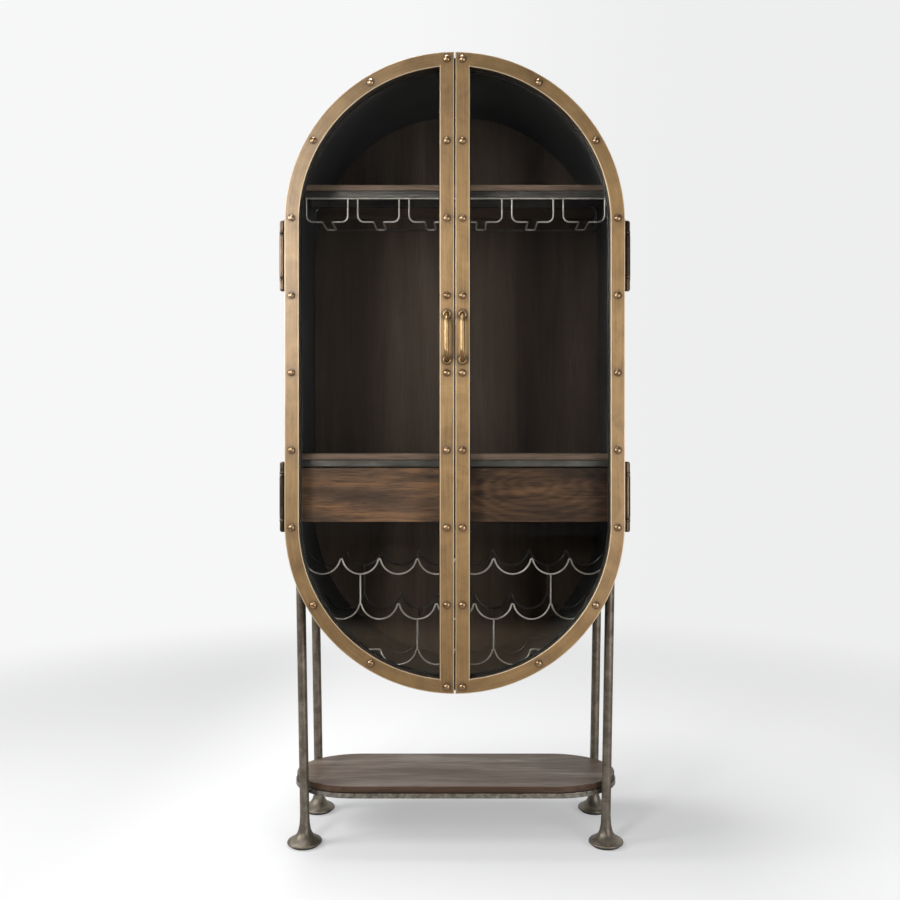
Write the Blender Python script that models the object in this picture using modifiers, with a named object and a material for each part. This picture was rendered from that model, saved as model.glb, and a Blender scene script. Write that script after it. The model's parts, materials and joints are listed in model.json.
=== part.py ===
"""Bar cabinet: a round-ended glazed case with two hinged doors, on a tubular steel stand.

Metres, +Z up. The doors face -Y, the floor is Z = 0, and X = 0 is the cabinet's middle.
A depth is measured backwards from the plane of the doors' faces.
"""
import math

import bmesh
import bpy
from mathutils import Matrix, Vector

# Overall form: the case's outline is a stadium, two half circles joined by straight sides
case_width = 0.840
case_bottom_z = 0.420
case_height = 1.584
case_back_depth = 0.460
shell_thickness = 0.0016
shell_flange_width = 0.018

# Fits shared by the whole cabinet
clearance = 0.0003
overrun = 0.010

# Doors
meeting_gap = 0.0036
frame_width = 0.035
frame_face_thickness = 0.003
frame_flange_thickness = 0.0025
frame_depth = 0.027
glass_thickness = 0.004
glass_inset = 0.015
retainer_inset = 0.003
retainer_width = 0.0375
retainer_thickness = 0.0024
door_to_case_gap = 0.002
door_swing_degrees = 170.0

# Rivets of the doors: domes with the middle of each frame band as their line
rivet_radius = 0.0085
rivet_height = 0.0052
rivet_pitch = 0.191
rivet_end_inset = 0.017
rivet_arc_angles = (30.0, 59.0)

# Door handles
handle_rise = 0.088
handle_eye_spacing = 0.1135
handle_eye_radius = 0.0103
handle_eye_thickness = 0.005
handle_dimple_radius = 0.0032
handle_dimple_depth = 0.0012
handle_grip_radius = 0.00625
handle_neck_radius = 0.0042
handle_standoff = 0.031
handle_shoulder = 0.014
handle_bend_radius = 0.018

# Hinges: surface leaves on the sides of the door and the case
hinge_height = 0.171
hinge_lower_rise = 0.0645
hinge_upper_drop = 0.077
hinge_knuckle_radius = 0.0088
hinge_end_knuckle = 0.030
hinge_knuckle_gap = 0.0005
hinge_leaf_thickness = 0.002
hinge_leaf_width = 0.019
hinge_pin_radius = 0.003
hinge_bore_clearance = 0.0004
hinge_pin_head_radius = 0.0064
hinge_pin_head_height = 0.0024
hinge_pin_offset = 0.0104

# Back panel
back_panel_thickness = 0.009

# Upper shelf, with the bars under its front and its middle
upper_shelf_drop = 0.2862
upper_shelf_thickness = 0.0145
upper_shelf_depth = 0.150
shelf_bar_thickness = 0.004
upper_bar_height = 0.0178
upper_bar_end_gap = 0.0017

# Stemware rack under the upper shelf
stem_wire_radius = 0.00225
stem_channels = 6
stem_side_gap = 0.0038
stem_wire_gap = 0.0263
stem_slot_width = 0.025
stem_drop = 0.062
stem_loop_inset = 0.009
stem_corner_radius = 0.017
stem_hook_radius = 0.007
rack_rear_depth = 0.245

# Middle shelf
middle_shelf_rise = 0.5925
middle_shelf_thickness = 0.0155
middle_shelf_depth = 0.062
middle_bar_height = 0.017
middle_bar_thickness = 0.006

# Drawers, side by side under the middle shelf
drawer_bay_height = 0.1352
drawer_bay_floor_thickness = 0.004
drawer_bay_back_gap = 0.0091
drawer_divider_thickness = 0.012
drawer_side_packing = 0.026
drawer_side_clearance = 0.001
drawer_front_height = 0.1365
drawer_front_thickness = 0.018
drawer_front_top_gap = 0.0035
drawer_box_length = 0.320
drawer_box_height = 0.115
drawer_wall = 0.010
drawer_bottom = 0.006

# Magnetic catch of the doors
catch_width = 0.042
catch_height = 0.013

# Wine rack: scalloped wires in three rows, a front and a rear grid
wine_wire_radius = 0.00225
wine_side_gap = 0.0184
wine_cradle_gap = 0.0017
wine_tip_radius = 0.0030
wine_row_cradles = (8, 7, 4)
wine_front_depth = 0.150
wine_rear_rise = 0.012
wine_end_angle = 45.0

# Stand
leg_radius = 0.012
leg_top_inset = 0.019
leg_lean = 0.011
leg_front_depth = 0.115
leg_rear_depth = 0.345
foot_height = 0.074
foot_disc_height = 0.0165
foot_widest_radius = 0.0448
foot_widest_z = 0.0085
foot_base_radius = 0.036
foot_shoulder_radius = 0.038
foot_collar = 0.0006

# Lower shelf of the stand: a board with elliptical ends on an angle-iron hoop
lower_shelf_top_z = 0.156
lower_board_thickness = 0.017
lower_board_overhang = 0.0385
lower_board_side_overhang = 0.016
lower_board_end_reach = 0.165
hoop_overhang = 0.003
hoop_side_overhang = 0.003
hoop_height = 0.0132
hoop_wall = 0.004
hoop_flange_width = 0.028
hoop_flange_thickness = 0.003
hoop_lug_radius = 0.0062

# Smoothness of the faceted curves
arc_segments = 18
end_arc_segments = 14
wire_resolution = 1
cradle_segments = 6
tip_segments = 3
round_sides = 16
foot_sides = 20

# Shares of the foot's flare, from the disc's shoulder up to the collar
foot_flare_height_shares = (0.07, 0.16, 0.32, 0.62)
foot_flare_radius_shares = (0.72, 0.44, 0.18, 0.05)

# How far each row of cradles hangs below the centre of the case's lower curve, as shares of the pitch
wine_row_drop_shares = (1.442, 2.624, 3.814)

# Worked-out places
case_radius = case_width / 2
case_top_z = case_bottom_z + case_height
upper_centre_z = case_top_z - case_radius
lower_centre_z = case_bottom_z + case_radius
case_middle_z = (case_top_z + case_bottom_z) / 2
rivet_end_offset = case_height / 2 - rivet_end_inset
handle_z = case_middle_z + handle_rise
hinge_z_places = (lower_centre_z + hinge_lower_rise, upper_centre_z - hinge_upper_drop)
upper_shelf_top_z = case_top_z - upper_shelf_drop
middle_shelf_top_z = case_bottom_z + middle_shelf_rise
middle_bar_top_z = middle_shelf_top_z - middle_shelf_thickness - clearance
drawer_bay_top_z = middle_bar_top_z - middle_bar_height
drawer_bay_floor_top_z = drawer_bay_top_z - drawer_bay_height
inner_radius = case_radius - shell_thickness
glass_front_depth = frame_depth + clearance
glass_back_depth = glass_front_depth + glass_thickness
retainer_front_depth = glass_back_depth + clearance
door_back_depth = retainer_front_depth + retainer_thickness
case_front_depth = door_back_depth + door_to_case_gap
pin_depth = (door_back_depth + case_front_depth) / 2
pin_x = case_radius + hinge_pin_offset
handle_reach = clearance + handle_standoff + handle_grip_radius
door_face_y = handle_reach - (handle_reach + case_back_depth) / 2
back_panel_back = case_back_depth - shell_thickness - clearance
back_panel_front = back_panel_back - back_panel_thickness
shelf_back_depth = back_panel_front - clearance
drawer_bay_back_depth = back_panel_front - drawer_bay_back_gap
facet_rise = case_radius * (1 - math.cos(math.pi / (4 * arc_segments)))
fit_radius = inner_radius - facet_rise - clearance
upper_board_half = math.sqrt(fit_radius ** 2 - max(upper_shelf_top_z - upper_centre_z, 0.0) ** 2)
stem_pitch = (2 * (upper_board_half - stem_side_gap) + stem_wire_gap) / stem_channels
stem_channel_width = stem_pitch - stem_wire_gap
wine_pitch = 2 * (inner_radius - wine_side_gap) / wine_row_cradles[0]
wine_cradle_radius = wine_pitch / 2 - wine_cradle_gap
wine_row_z_places = [lower_centre_z - wine_pitch * share for share in wine_row_drop_shares]
leg_top_x = case_radius - leg_top_inset
leg_foot_x = leg_top_x - leg_lean
lower_board_half_length = leg_foot_x + lower_board_overhang
lower_board_half_width = (leg_rear_depth - leg_front_depth) / 2 + lower_board_side_overhang
lower_board_straight_half = lower_board_half_length - lower_board_end_reach

cabinet_parts = bpy.data.collections.new("bar_cabinet")
cutting_shapes = bpy.data.collections.new("cutting_shapes")


def at(depth):
    """World Y of a depth behind the doors' faces."""
    return door_face_y + depth


def wall_half_width(z, radius):
    """Half width of a stadium of this radius, with the case's centres, at a height."""
    if z > upper_centre_z:
        rise = z - upper_centre_z
    elif z < lower_centre_z:
        rise = lower_centre_z - z
    else:
        rise = 0.0
    return math.sqrt(radius ** 2 - rise ** 2)


def fit_half_width(low_z, high_z):
    """Half width that fits between the case's side walls all the way from one height to another."""
    if low_z >= lower_centre_z and high_z <= upper_centre_z:
        return inner_radius - clearance
    return min(wall_half_width(low_z, fit_radius), wall_half_width(high_z, fit_radius))


def material(name, colour, metallic, roughness, alpha=1.0):
    made = bpy.data.materials.new(name)
    made.use_nodes = True
    shader = made.node_tree.nodes["Principled BSDF"]
    shader.inputs["Base Color"].default_value = (*colour, 1.0)
    shader.inputs["Metallic"].default_value = metallic
    shader.inputs["Roughness"].default_value = roughness
    shader.inputs["Alpha"].default_value = alpha
    made.diffuse_color = (*colour, alpha)
    return made


def add_object(name, data, finish, collection=None):
    made = bpy.data.objects.new(name, data)
    (collection or cabinet_parts).objects.link(made)
    if finish is not None:
        data.materials.append(finish)
    return made


def hide(shape):
    """Marks a shape as a cutter or a guide."""
    shape.hide_render = True
    shape.display_type = "WIRE"
    return shape


def mesh_from(name, build, finish, hidden=False):
    """New mesh object from a function that fills a bmesh."""
    mesh = bpy.data.meshes.new(name)
    shape = bmesh.new()
    build(shape)
    bmesh.ops.recalc_face_normals(shape, faces=shape.faces)
    shape.to_mesh(mesh)
    shape.free()
    made = add_object(name, mesh, finish, cutting_shapes if hidden else None)
    return hide(made) if hidden else made


def box(name, low, high, finish=None, hidden=False):
    """Box between two corners, from a unit cube."""
    size = Vector(high) - Vector(low)

    def build(shape):
        bmesh.ops.create_cube(shape, size=1.0)
        bmesh.ops.scale(shape, vec=size, verts=shape.verts)

    made = mesh_from(name, build, finish, hidden)
    made.location = (Vector(high) + Vector(low)) / 2
    return made


def rod(name, start, end, radius, finish=None, hidden=False, sides=round_sides):
    """Solid cylinder from one point to another."""
    start = Vector(start)
    end = Vector(end)

    def build(shape):
        bmesh.ops.create_cone(
            shape, cap_ends=True, segments=sides, radius1=radius, radius2=radius, depth=(end - start).length
        )

    made = mesh_from(name, build, finish, hidden)
    made.location = (start + end) / 2
    made.rotation_euler = (end - start).to_track_quat("Z", "Y").to_euler()
    made.data.shade_smooth()
    made.data.set_sharp_from_angle(angle=math.radians(40))
    return made


def turned(name, profile, place, finish, sides):
    """Solid of revolution about Z, from a profile that runs down its outer side."""
    mesh = bpy.data.meshes.new(name)
    edges = [(index, index + 1) for index in range(len(profile) - 1)]
    mesh.from_pydata([(radius, 0.0, z) for radius, z in profile], edges, [])
    made = add_object(name, mesh, finish)
    made.location = place
    screw = made.modifiers.new("turned", "SCREW")
    screw.axis = "Z"
    screw.steps = sides
    screw.render_steps = sides
    screw.use_merge_vertices = True
    screw.merge_threshold = 0.00001
    screw.use_smooth_shade = True
    return made


def curve_to_mesh(source, name, finish, hidden):
    """Replaces a curve object by a mesh whose caps are welded on."""
    bpy.context.view_layer.update()
    evaluated = source.evaluated_get(bpy.context.evaluated_depsgraph_get())
    mesh = bpy.data.meshes.new_from_object(evaluated)
    mesh.name = name
    mesh.materials.clear()
    shape = bmesh.new()
    shape.from_mesh(mesh)
    bmesh.ops.remove_doubles(shape, verts=shape.verts, dist=0.000005)
    bmesh.ops.recalc_face_normals(shape, faces=shape.faces)
    shape.to_mesh(mesh)
    shape.free()
    made = add_object(name, mesh, finish, cutting_shapes if hidden else None)
    made.matrix_world = source.matrix_world
    bpy.data.objects.remove(source)
    return hide(made) if hidden else made


def outline_curve(name, outlines, thickness):
    """Filled flat curve, thick along its own Z. A second outline is a hole."""
    data = bpy.data.curves.new(name, "CURVE")
    data.dimensions = "2D"
    data.fill_mode = "BOTH"
    data.extrude = thickness / 2
    for outline in outlines:
        spline = data.splines.new("POLY")
        spline.points.add(len(outline) - 1)
        for point, (across, along) in zip(spline.points, outline):
            point.co = (across, along, 0.0, 1.0)
        spline.use_cyclic_u = True
    made = bpy.data.objects.new(name + "_curve", data)
    cutting_shapes.objects.link(made)
    return made


def upright_plate(name, outlines, front_depth, back_depth, finish=None, hidden=False):
    """Plate in the plane of the doors, between two depths, with outlines in X and Z."""
    made = outline_curve(name, outlines, back_depth - front_depth)
    made.rotation_euler = (math.radians(90), 0.0, 0.0)
    made.location = (0.0, at((front_depth + back_depth) / 2), 0.0)
    return curve_to_mesh(made, name, finish, hidden)


def level_plate(name, outlines, low_z, high_z, finish=None, hidden=False):
    """Horizontal plate between two heights, with outlines in X and Y."""
    made = outline_curve(name, outlines, high_z - low_z)
    made.location = (0.0, 0.0, (low_z + high_z) / 2)
    return curve_to_mesh(made, name, finish, hidden)


def combine(target, other, operation):
    """Boolean modifier with a hidden shape."""
    modifier = target.modifiers.new(operation.lower() + "_" + other.name, "BOOLEAN")
    modifier.operation = operation
    modifier.object = other
    return target


def cut(target, cutter):
    return combine(target, cutter, "DIFFERENCE")


def join(target, other):
    return combine(target, other, "UNION")


def wire(name, points, radius, finish, closed=False):
    """Bent wire along a list of points."""
    data = bpy.data.curves.new(name, "CURVE")
    data.dimensions = "3D"
    data.bevel_depth = radius
    data.bevel_resolution = wire_resolution
    data.use_fill_caps = not closed
    spline = data.splines.new("POLY")
    spline.points.add(len(points) - 1)
    for point, place in zip(spline.points, points):
        point.co = (*place, 1.0)
    spline.use_cyclic_u = closed
    spline.use_smooth = True
    made = bpy.data.objects.new(name + "_curve", data)
    cutting_shapes.objects.link(made)
    return curve_to_mesh(made, name, finish, False)


def rounded_path(corners, radii, segments=3, closed=False):
    """Path through corners, each rounded to its own radius."""
    corners = [Vector(corner) for corner in corners]
    count = len(corners)
    path = []
    for index, corner in enumerate(corners):
        if not closed and index in (0, count - 1):
            path.append(corner)
            continue
        before = (corners[index - 1] - corner).normalized()
        after = (corners[(index + 1) % count] - corner).normalized()
        half_angle = before.angle(after) / 2
        reach = radii[index] / math.tan(half_angle)
        centre = corner + (before + after).normalized() * radii[index] / math.sin(half_angle)
        first = corner + before * reach - centre
        axis = first.cross(corner + after * reach - centre).normalized()
        turn = math.pi - 2 * half_angle
        for step in range(segments + 1):
            path.append(centre + Matrix.Rotation(turn * step / segments, 3, axis) @ first)
    return path


def arc_points(centre_z, radius, start, end, segments, side=1):
    """Points of an arc about the case's middle line, with angles up from the horizontal."""
    return [
        (
            side * radius * math.cos(start + (end - start) * step / segments),
            centre_z + radius * math.sin(start + (end - start) * step / segments),
        )
        for step in range(segments + 1)
    ]


def stadium_outline(radius):
    """Whole outline of the case, or of a shape inside or round it with the same centres."""
    upper = arc_points(upper_centre_z, radius, 0.0, math.pi, 2 * arc_segments)
    lower = arc_points(lower_centre_z, radius, math.pi, 2 * math.pi, 2 * arc_segments)
    return upper + lower


def door_outline(side, inset, stile_inset):
    """Outline of one door, drawn in by an inset from its rim and from its meeting edge."""
    radius = case_radius - inset
    edge_x = meeting_gap / 2 + stile_inset
    sweep = math.acos(edge_x / radius)
    upper = arc_points(upper_centre_z, radius, sweep, 0.0, arc_segments, side)
    lower = arc_points(lower_centre_z, radius, 0.0, -sweep, arc_segments, side)
    return upper + lower


def lower_shelf_outline(half_length, half_width):
    """Long outline with straight sides and half-elliptical ends, in X and Y."""
    middle_y = at((leg_front_depth + leg_rear_depth) / 2)
    points = []
    for side, start in ((1, -math.pi / 2), (-1, math.pi / 2)):
        for step in range(end_arc_segments + 1):
            angle = start + math.pi * step / end_arc_segments
            x = side * lower_board_straight_half + (half_length - lower_board_straight_half) * math.cos(angle)
            points.append((x, middle_y + half_width * math.sin(angle)))
    return points


def nearest_on_outline(outline, place):
    """Point of a closed outline that lies nearest to a place beside it."""
    found = []
    for index, start in enumerate(outline):
        start = Vector(start)
        along = Vector(outline[(index + 1) % len(outline)]) - start
        if along.length > 0.0:
            share = (place - start).dot(along) / along.length_squared
            found.append(start + along * min(max(share, 0.0), 1.0))
    return min(found, key=lambda point: (point - place).length)


def side_word(side):
    return "left" if side < 0 else "right"


def make_case():
    """Rolled steel shell with a rear flange, and the wooden back panel in it."""
    shell = upright_plate(
        "case_shell", [stadium_outline(case_radius)], case_front_depth, case_back_depth, dark_steel
    )
    hollow = upright_plate(
        "case_hollow",
        [stadium_outline(inner_radius)],
        case_front_depth - overrun,
        case_back_depth - shell_thickness,
        hidden=True,
    )
    rear_opening = upright_plate(
        "case_rear_opening",
        [stadium_outline(case_radius - shell_flange_width)],
        case_front_depth,
        case_back_depth + overrun,
        hidden=True,
    )
    cut(shell, hollow)
    cut(shell, rear_opening)
    upright_plate(
        "back_panel",
        [stadium_outline(inner_radius - clearance)],
        back_panel_front,
        back_panel_back,
        dark_wood,
    )


def rivet_places(side):
    """X and Z of each rivet of one door."""
    stile_x = side * (meeting_gap + frame_width) / 2
    band_radius = case_radius - frame_width / 2
    steps = (-2, -1, 0, 1, 2)
    places = [(stile_x, case_middle_z + step * rivet_pitch) for step in (-3, *steps, 3)]
    places += [(stile_x, case_middle_z + end * rivet_end_offset) for end in (-1, 1)]
    places += [
        (side * wall_half_width(case_middle_z + step * rivet_pitch, band_radius), case_middle_z + step * rivet_pitch)
        for step in steps
    ]
    for degrees in rivet_arc_angles:
        angle = math.radians(degrees)
        x = side * band_radius * math.cos(angle)
        places += [
            (x, upper_centre_z + band_radius * math.sin(angle)),
            (x, lower_centre_z - band_radius * math.sin(angle)),
        ]
    return places


def make_door(side):
    """Channel frame with its rivets, the pane and the ring that holds the pane in."""
    word = side_word(side)
    frame = upright_plate(
        f"door_frame_{word}", [door_outline(side, 0.0, 0.0)], 0.0, frame_depth, brass
    )
    opening = upright_plate(
        f"door_opening_{word}",
        [door_outline(side, frame_width, frame_width)],
        -overrun,
        frame_depth + overrun,
        hidden=True,
    )
    inner_side = frame_width - frame_flange_thickness
    channel = upright_plate(
        f"door_channel_{word}",
        [
            door_outline(side, frame_flange_thickness, frame_flange_thickness),
            door_outline(side, inner_side, inner_side),
        ],
        frame_face_thickness,
        frame_depth + overrun,
        hidden=True,
    )

    def build_rivets(shape):
        for x, z in rivet_places(side):
            place = Matrix.Translation((x, at(0.0), z))
            flatten = Matrix.Diagonal((1.0, rivet_height / rivet_radius, 1.0, 1.0))
            upright = Matrix.Rotation(math.radians(90), 4, "X")
            bmesh.ops.create_uvsphere(
                shape, u_segments=8, v_segments=6, radius=rivet_radius, matrix=place @ flatten @ upright
            )

    rivets = mesh_from(f"door_rivets_{word}", build_rivets, brass, hidden=True)
    cut(frame, opening)
    cut(frame, channel)
    join(frame, rivets)

    upright_plate(
        f"door_glass_{word}",
        [door_outline(side, glass_inset, glass_inset)],
        glass_front_depth,
        glass_back_depth,
        glass,
    )
    retainer = upright_plate(
        f"glass_retainer_{word}",
        [
            door_outline(side, retainer_inset, retainer_inset),
            door_outline(side, retainer_width, retainer_width),
        ],
        glass_front_depth,
        door_back_depth,
        grey_steel,
    )
    glass_seat = upright_plate(
        f"glass_seat_{word}",
        [door_outline(side, glass_inset - clearance, glass_inset - clearance)],
        glass_front_depth - overrun,
        retainer_front_depth,
        hidden=True,
    )
    cut(retainer, glass_seat)


def make_handle(side):
    """Bow pull with a flat eye at each end, bolted to the stile."""
    word = side_word(side)
    stile_x = side * (meeting_gap + frame_width) / 2
    half_spacing = handle_eye_spacing / 2
    grip_y = at(-clearance - handle_standoff)
    shoulder = half_spacing - handle_shoulder
    corners = [
        (stile_x, at(-clearance), handle_z - half_spacing),
        (stile_x, grip_y, handle_z - shoulder),
        (stile_x, grip_y, handle_z + shoulder),
        (stile_x, at(-clearance), handle_z + half_spacing),
    ]
    path = rounded_path(corners, [handle_bend_radius] * len(corners), segments=5)

    data = bpy.data.curves.new(f"door_handle_{word}", "CURVE")
    data.dimensions = "3D"
    data.bevel_depth = handle_grip_radius
    data.bevel_resolution = 3
    data.use_fill_caps = True
    spline = data.splines.new("POLY")
    spline.points.add(len(path) - 1)
    spline.use_smooth = True
    neck_share = handle_neck_radius / handle_grip_radius
    for point, place in zip(spline.points, path):
        point.co = (*place, 1.0)
        reach_share = (at(-clearance) - place.y) / handle_standoff
        point.radius = neck_share + (1 - neck_share) * reach_share
    bow = bpy.data.objects.new(f"handle_bow_{word}", data)
    cutting_shapes.objects.link(bow)
    bow = curve_to_mesh(bow, f"door_handle_{word}", polished_brass, False)
    for mark, end in (("top", 1), ("bottom", -1)):
        eye_z = handle_z + end * half_spacing
        eye_front = -clearance - handle_eye_thickness
        eye = rod(
            f"handle_eye_{mark}_{word}",
            (stile_x, at(-clearance), eye_z),
            (stile_x, at(eye_front), eye_z),
            handle_eye_radius,
            hidden=True,
        )
        dimple = rod(
            f"handle_dimple_{mark}_{word}",
            (stile_x, at(eye_front + handle_dimple_depth), eye_z),
            (stile_x, at(eye_front - overrun), eye_z),
            handle_dimple_radius,
            hidden=True,
            sides=8,
        )
        trim = box(
            f"handle_trim_{mark}_{word}",
            (stile_x - handle_eye_radius, at(-clearance), eye_z - handle_eye_radius),
            (stile_x + handle_eye_radius, at(overrun), eye_z + handle_eye_radius),
            hidden=True,
        )
        join(bow, eye)
        cut(bow, trim)
        cut(bow, dimple)


def make_leaf(name, side, plate_depths, knuckles, z_range):
    """Hinge leaf: a plate on the cabinet's side, with tongues that carry its knuckles."""
    inner_x = case_radius + clearance
    outer_x = inner_x + hinge_leaf_thickness
    low_z, high_z = z_range
    leaf = box(
        name,
        (min(side * inner_x, side * outer_x), at(plate_depths[0]), low_z),
        (max(side * inner_x, side * outer_x), at(plate_depths[1]), high_z),
        bronze,
    )
    towards_pin = plate_depths[1] if plate_depths[1] < pin_depth else plate_depths[0]
    tongue_depths = sorted((towards_pin - math.copysign(hinge_leaf_thickness, pin_depth - towards_pin), pin_depth))
    for number, (knuckle_low, knuckle_high) in enumerate(knuckles):
        tongue = box(
            f"{name}_tongue_{number}",
            (min(side * inner_x, side * outer_x), at(tongue_depths[0]), knuckle_low),
            (max(side * inner_x, side * outer_x), at(tongue_depths[1]), knuckle_high),
            hidden=True,
        )
        knuckle = rod(
            f"{name}_knuckle_{number}",
            (side * pin_x, at(pin_depth), knuckle_low),
            (side * pin_x, at(pin_depth), knuckle_high),
            hinge_knuckle_radius,
            hidden=True,
        )
        join(leaf, tongue)
        join(leaf, knuckle)
    bore = rod(
        f"{name}_bore",
        (side * pin_x, at(pin_depth), low_z - overrun),
        (side * pin_x, at(pin_depth), high_z + overrun),
        hinge_pin_radius + hinge_bore_clearance,
        hidden=True,
    )
    cut(leaf, bore)


def make_hinge(side, centre_z, mark):
    """Two leaves and the pin that joins them."""
    word = side_word(side)
    low_z = centre_z - hinge_height / 2
    high_z = centre_z + hinge_height / 2
    middle_low = low_z + hinge_end_knuckle + hinge_knuckle_gap
    middle_high = high_z - hinge_end_knuckle - hinge_knuckle_gap
    plate_end = hinge_knuckle_radius + hinge_knuckle_gap
    door_plate = (pin_depth - plate_end - hinge_leaf_width, pin_depth - plate_end)
    case_plate = (pin_depth + plate_end, pin_depth + plate_end + hinge_leaf_width)
    make_leaf(
        f"hinge_{mark}_{word}_door_leaf", side, door_plate, [(middle_low, middle_high)], (low_z, high_z)
    )
    make_leaf(
        f"hinge_{mark}_{word}_case_leaf",
        side,
        case_plate,
        [(low_z, low_z + hinge_end_knuckle), (high_z - hinge_end_knuckle, high_z)],
        (low_z, high_z),
    )
    head_low = high_z + clearance
    tail_high = low_z - clearance
    profile = [
        (0.0, head_low + hinge_pin_head_height),
        (hinge_pin_head_radius, head_low + hinge_pin_head_height),
        (hinge_pin_head_radius, head_low),
        (hinge_pin_radius, head_low),
        (hinge_pin_radius, tail_high),
        (hinge_pin_head_radius, tail_high),
        (hinge_pin_head_radius, tail_high - hinge_pin_head_height),
        (0.0, tail_high - hinge_pin_head_height),
    ]
    turned(f"hinge_{mark}_{word}_pin", profile, (side * pin_x, at(pin_depth), 0.0), bronze, round_sides)


def make_upper_shelf():
    """Upper shelf board and the two steel bars under it."""
    under_z = upper_shelf_top_z - upper_shelf_thickness
    box(
        "upper_shelf_board",
        (-upper_board_half, at(upper_shelf_depth), under_z),
        (upper_board_half, at(shelf_back_depth), upper_shelf_top_z),
        shelf_wood,
    )
    bar_high = under_z - clearance
    bar_half = upper_board_half - upper_bar_end_gap
    for name, depth in (
        ("upper_shelf_front_bar", upper_shelf_depth),
        ("upper_shelf_rear_bar", rack_rear_depth - shelf_bar_thickness / 2),
    ):
        box(
            name,
            (-bar_half, at(depth), bar_high - upper_bar_height),
            (bar_half, at(depth + shelf_bar_thickness), bar_high),
            grey_steel,
        )
    return bar_high - upper_bar_height


def make_stemware_rack(bar_low):
    """Front rod, rear loop and the bent rails that the feet of glasses slide along."""
    half_span = ((stem_channels - 1) * stem_pitch + stem_channel_width) / 2
    rod_z = bar_low - clearance - stem_wire_radius
    rail_z = rod_z - stem_drop
    front_y = at(upper_shelf_depth + shelf_bar_thickness / 2)
    rear_y = at(rack_rear_depth)
    wire(
        "stemware_front_rod",
        [(-half_span - stem_wire_radius, front_y, rod_z), (half_span + stem_wire_radius, front_y, rod_z)],
        stem_wire_radius,
        bright_wire,
    )
    loop_half = half_span - stem_loop_inset
    loop = [
        (-loop_half, rear_y, rod_z),
        (-loop_half, rear_y, rail_z),
        (loop_half, rear_y, rail_z),
        (loop_half, rear_y, rod_z),
    ]
    wire(
        "stemware_rear_loop",
        rounded_path(loop, [stem_corner_radius] * len(loop), closed=True),
        stem_wire_radius,
        bright_wire,
        closed=True,
    )
    cross_y = rear_y - 2 * stem_wire_radius - clearance
    rail_top = rod_z - stem_wire_radius - clearance
    half_width = stem_channel_width / 2
    half_slot = stem_slot_width / 2
    for number in range(stem_channels):
        centre = (number - (stem_channels - 1) / 2) * stem_pitch
        left = [
            (centre - half_width, front_y, rail_top),
            (centre - half_width, front_y, rail_z),
            (centre - half_slot, front_y, rail_z),
            (centre - half_slot, cross_y, rail_z),
        ]
        right = [(2 * centre - x, y, z) for x, y, z in reversed(left)]
        radii = [0.0, stem_corner_radius, stem_hook_radius, stem_hook_radius]
        wire(
            f"stemware_rail_{number + 1}",
            rounded_path(left + right, radii + radii[::-1]),
            stem_wire_radius,
            bright_wire,
        )


def make_middle_shelf():
    """Middle shelf board and the steel bar along its front."""
    half = fit_half_width(drawer_bay_top_z, middle_shelf_top_z)
    box(
        "middle_shelf_board",
        (-half, at(middle_shelf_depth), middle_shelf_top_z - middle_shelf_thickness),
        (half, at(shelf_back_depth), middle_shelf_top_z),
        shelf_wood,
    )
    box(
        "middle_shelf_front_bar",
        (-half, at(middle_shelf_depth), drawer_bay_top_z),
        (half, at(middle_shelf_depth + middle_bar_thickness), middle_bar_top_z),
        grey_steel,
    )
    catch_z = (drawer_bay_top_z + middle_bar_top_z) / 2
    box(
        "magnetic_catch",
        (-catch_width / 2, at(door_back_depth + clearance), catch_z - catch_height / 2),
        (catch_width / 2, at(middle_shelf_depth - clearance), catch_z + catch_height / 2),
        dark_steel,
    )


def make_drawer_bay():
    """Floor, divider and side packings that the drawers slide between."""
    front = middle_shelf_depth + drawer_front_thickness + clearance
    floor_top = drawer_bay_floor_top_z
    half = fit_half_width(floor_top - drawer_bay_floor_thickness, drawer_bay_top_z)
    box(
        "drawer_bay_floor",
        (-half, at(front), floor_top - drawer_bay_floor_thickness),
        (half, at(drawer_bay_back_depth), floor_top),
        shelf_wood,
    )
    low_z = floor_top + clearance
    high_z = drawer_bay_top_z - clearance
    box(
        "drawer_divider",
        (-drawer_divider_thickness / 2, at(front), low_z),
        (drawer_divider_thickness / 2, at(drawer_bay_back_depth), high_z),
        shelf_wood,
    )
    for side in (-1, 1):
        ends = sorted((side * half, side * (half - drawer_side_packing)))
        box(
            f"drawer_side_packing_{side_word(side)}",
            (ends[0], at(middle_shelf_depth), low_z),
            (ends[1], at(drawer_bay_back_depth), high_z),
            shelf_wood,
        )


def make_drawer(side):
    """Drawer front, and the box behind it."""
    word = side_word(side)
    bay_half = fit_half_width(drawer_bay_floor_top_z - drawer_bay_floor_thickness, drawer_bay_top_z)
    outer_x = bay_half - drawer_side_packing - drawer_side_clearance
    front_high = drawer_bay_top_z - drawer_front_top_gap
    front_ends = sorted((side * meeting_gap / 2, side * outer_x))
    box(
        f"drawer_front_{word}",
        (front_ends[0], at(middle_shelf_depth), front_high - drawer_front_height),
        (front_ends[1], at(middle_shelf_depth + drawer_front_thickness), front_high),
        drawer_wood,
    )
    inner_x = drawer_divider_thickness / 2 + drawer_side_clearance
    box_ends = sorted((side * inner_x, side * outer_x))
    front = middle_shelf_depth + drawer_front_thickness + clearance
    low_z = drawer_bay_floor_top_z + clearance
    body = box(
        f"drawer_box_{word}",
        (box_ends[0], at(front), low_z),
        (box_ends[1], at(front + drawer_box_length), low_z + drawer_box_height),
        shelf_wood,
    )
    hollow = box(
        f"drawer_hollow_{word}",
        (box_ends[0] + drawer_wall, at(front + drawer_wall), low_z + drawer_bottom),
        (box_ends[1] - drawer_wall, at(front + drawer_box_length - drawer_wall), low_z + drawer_box_height + overrun),
        hidden=True,
    )
    cut(body, hollow)


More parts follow.
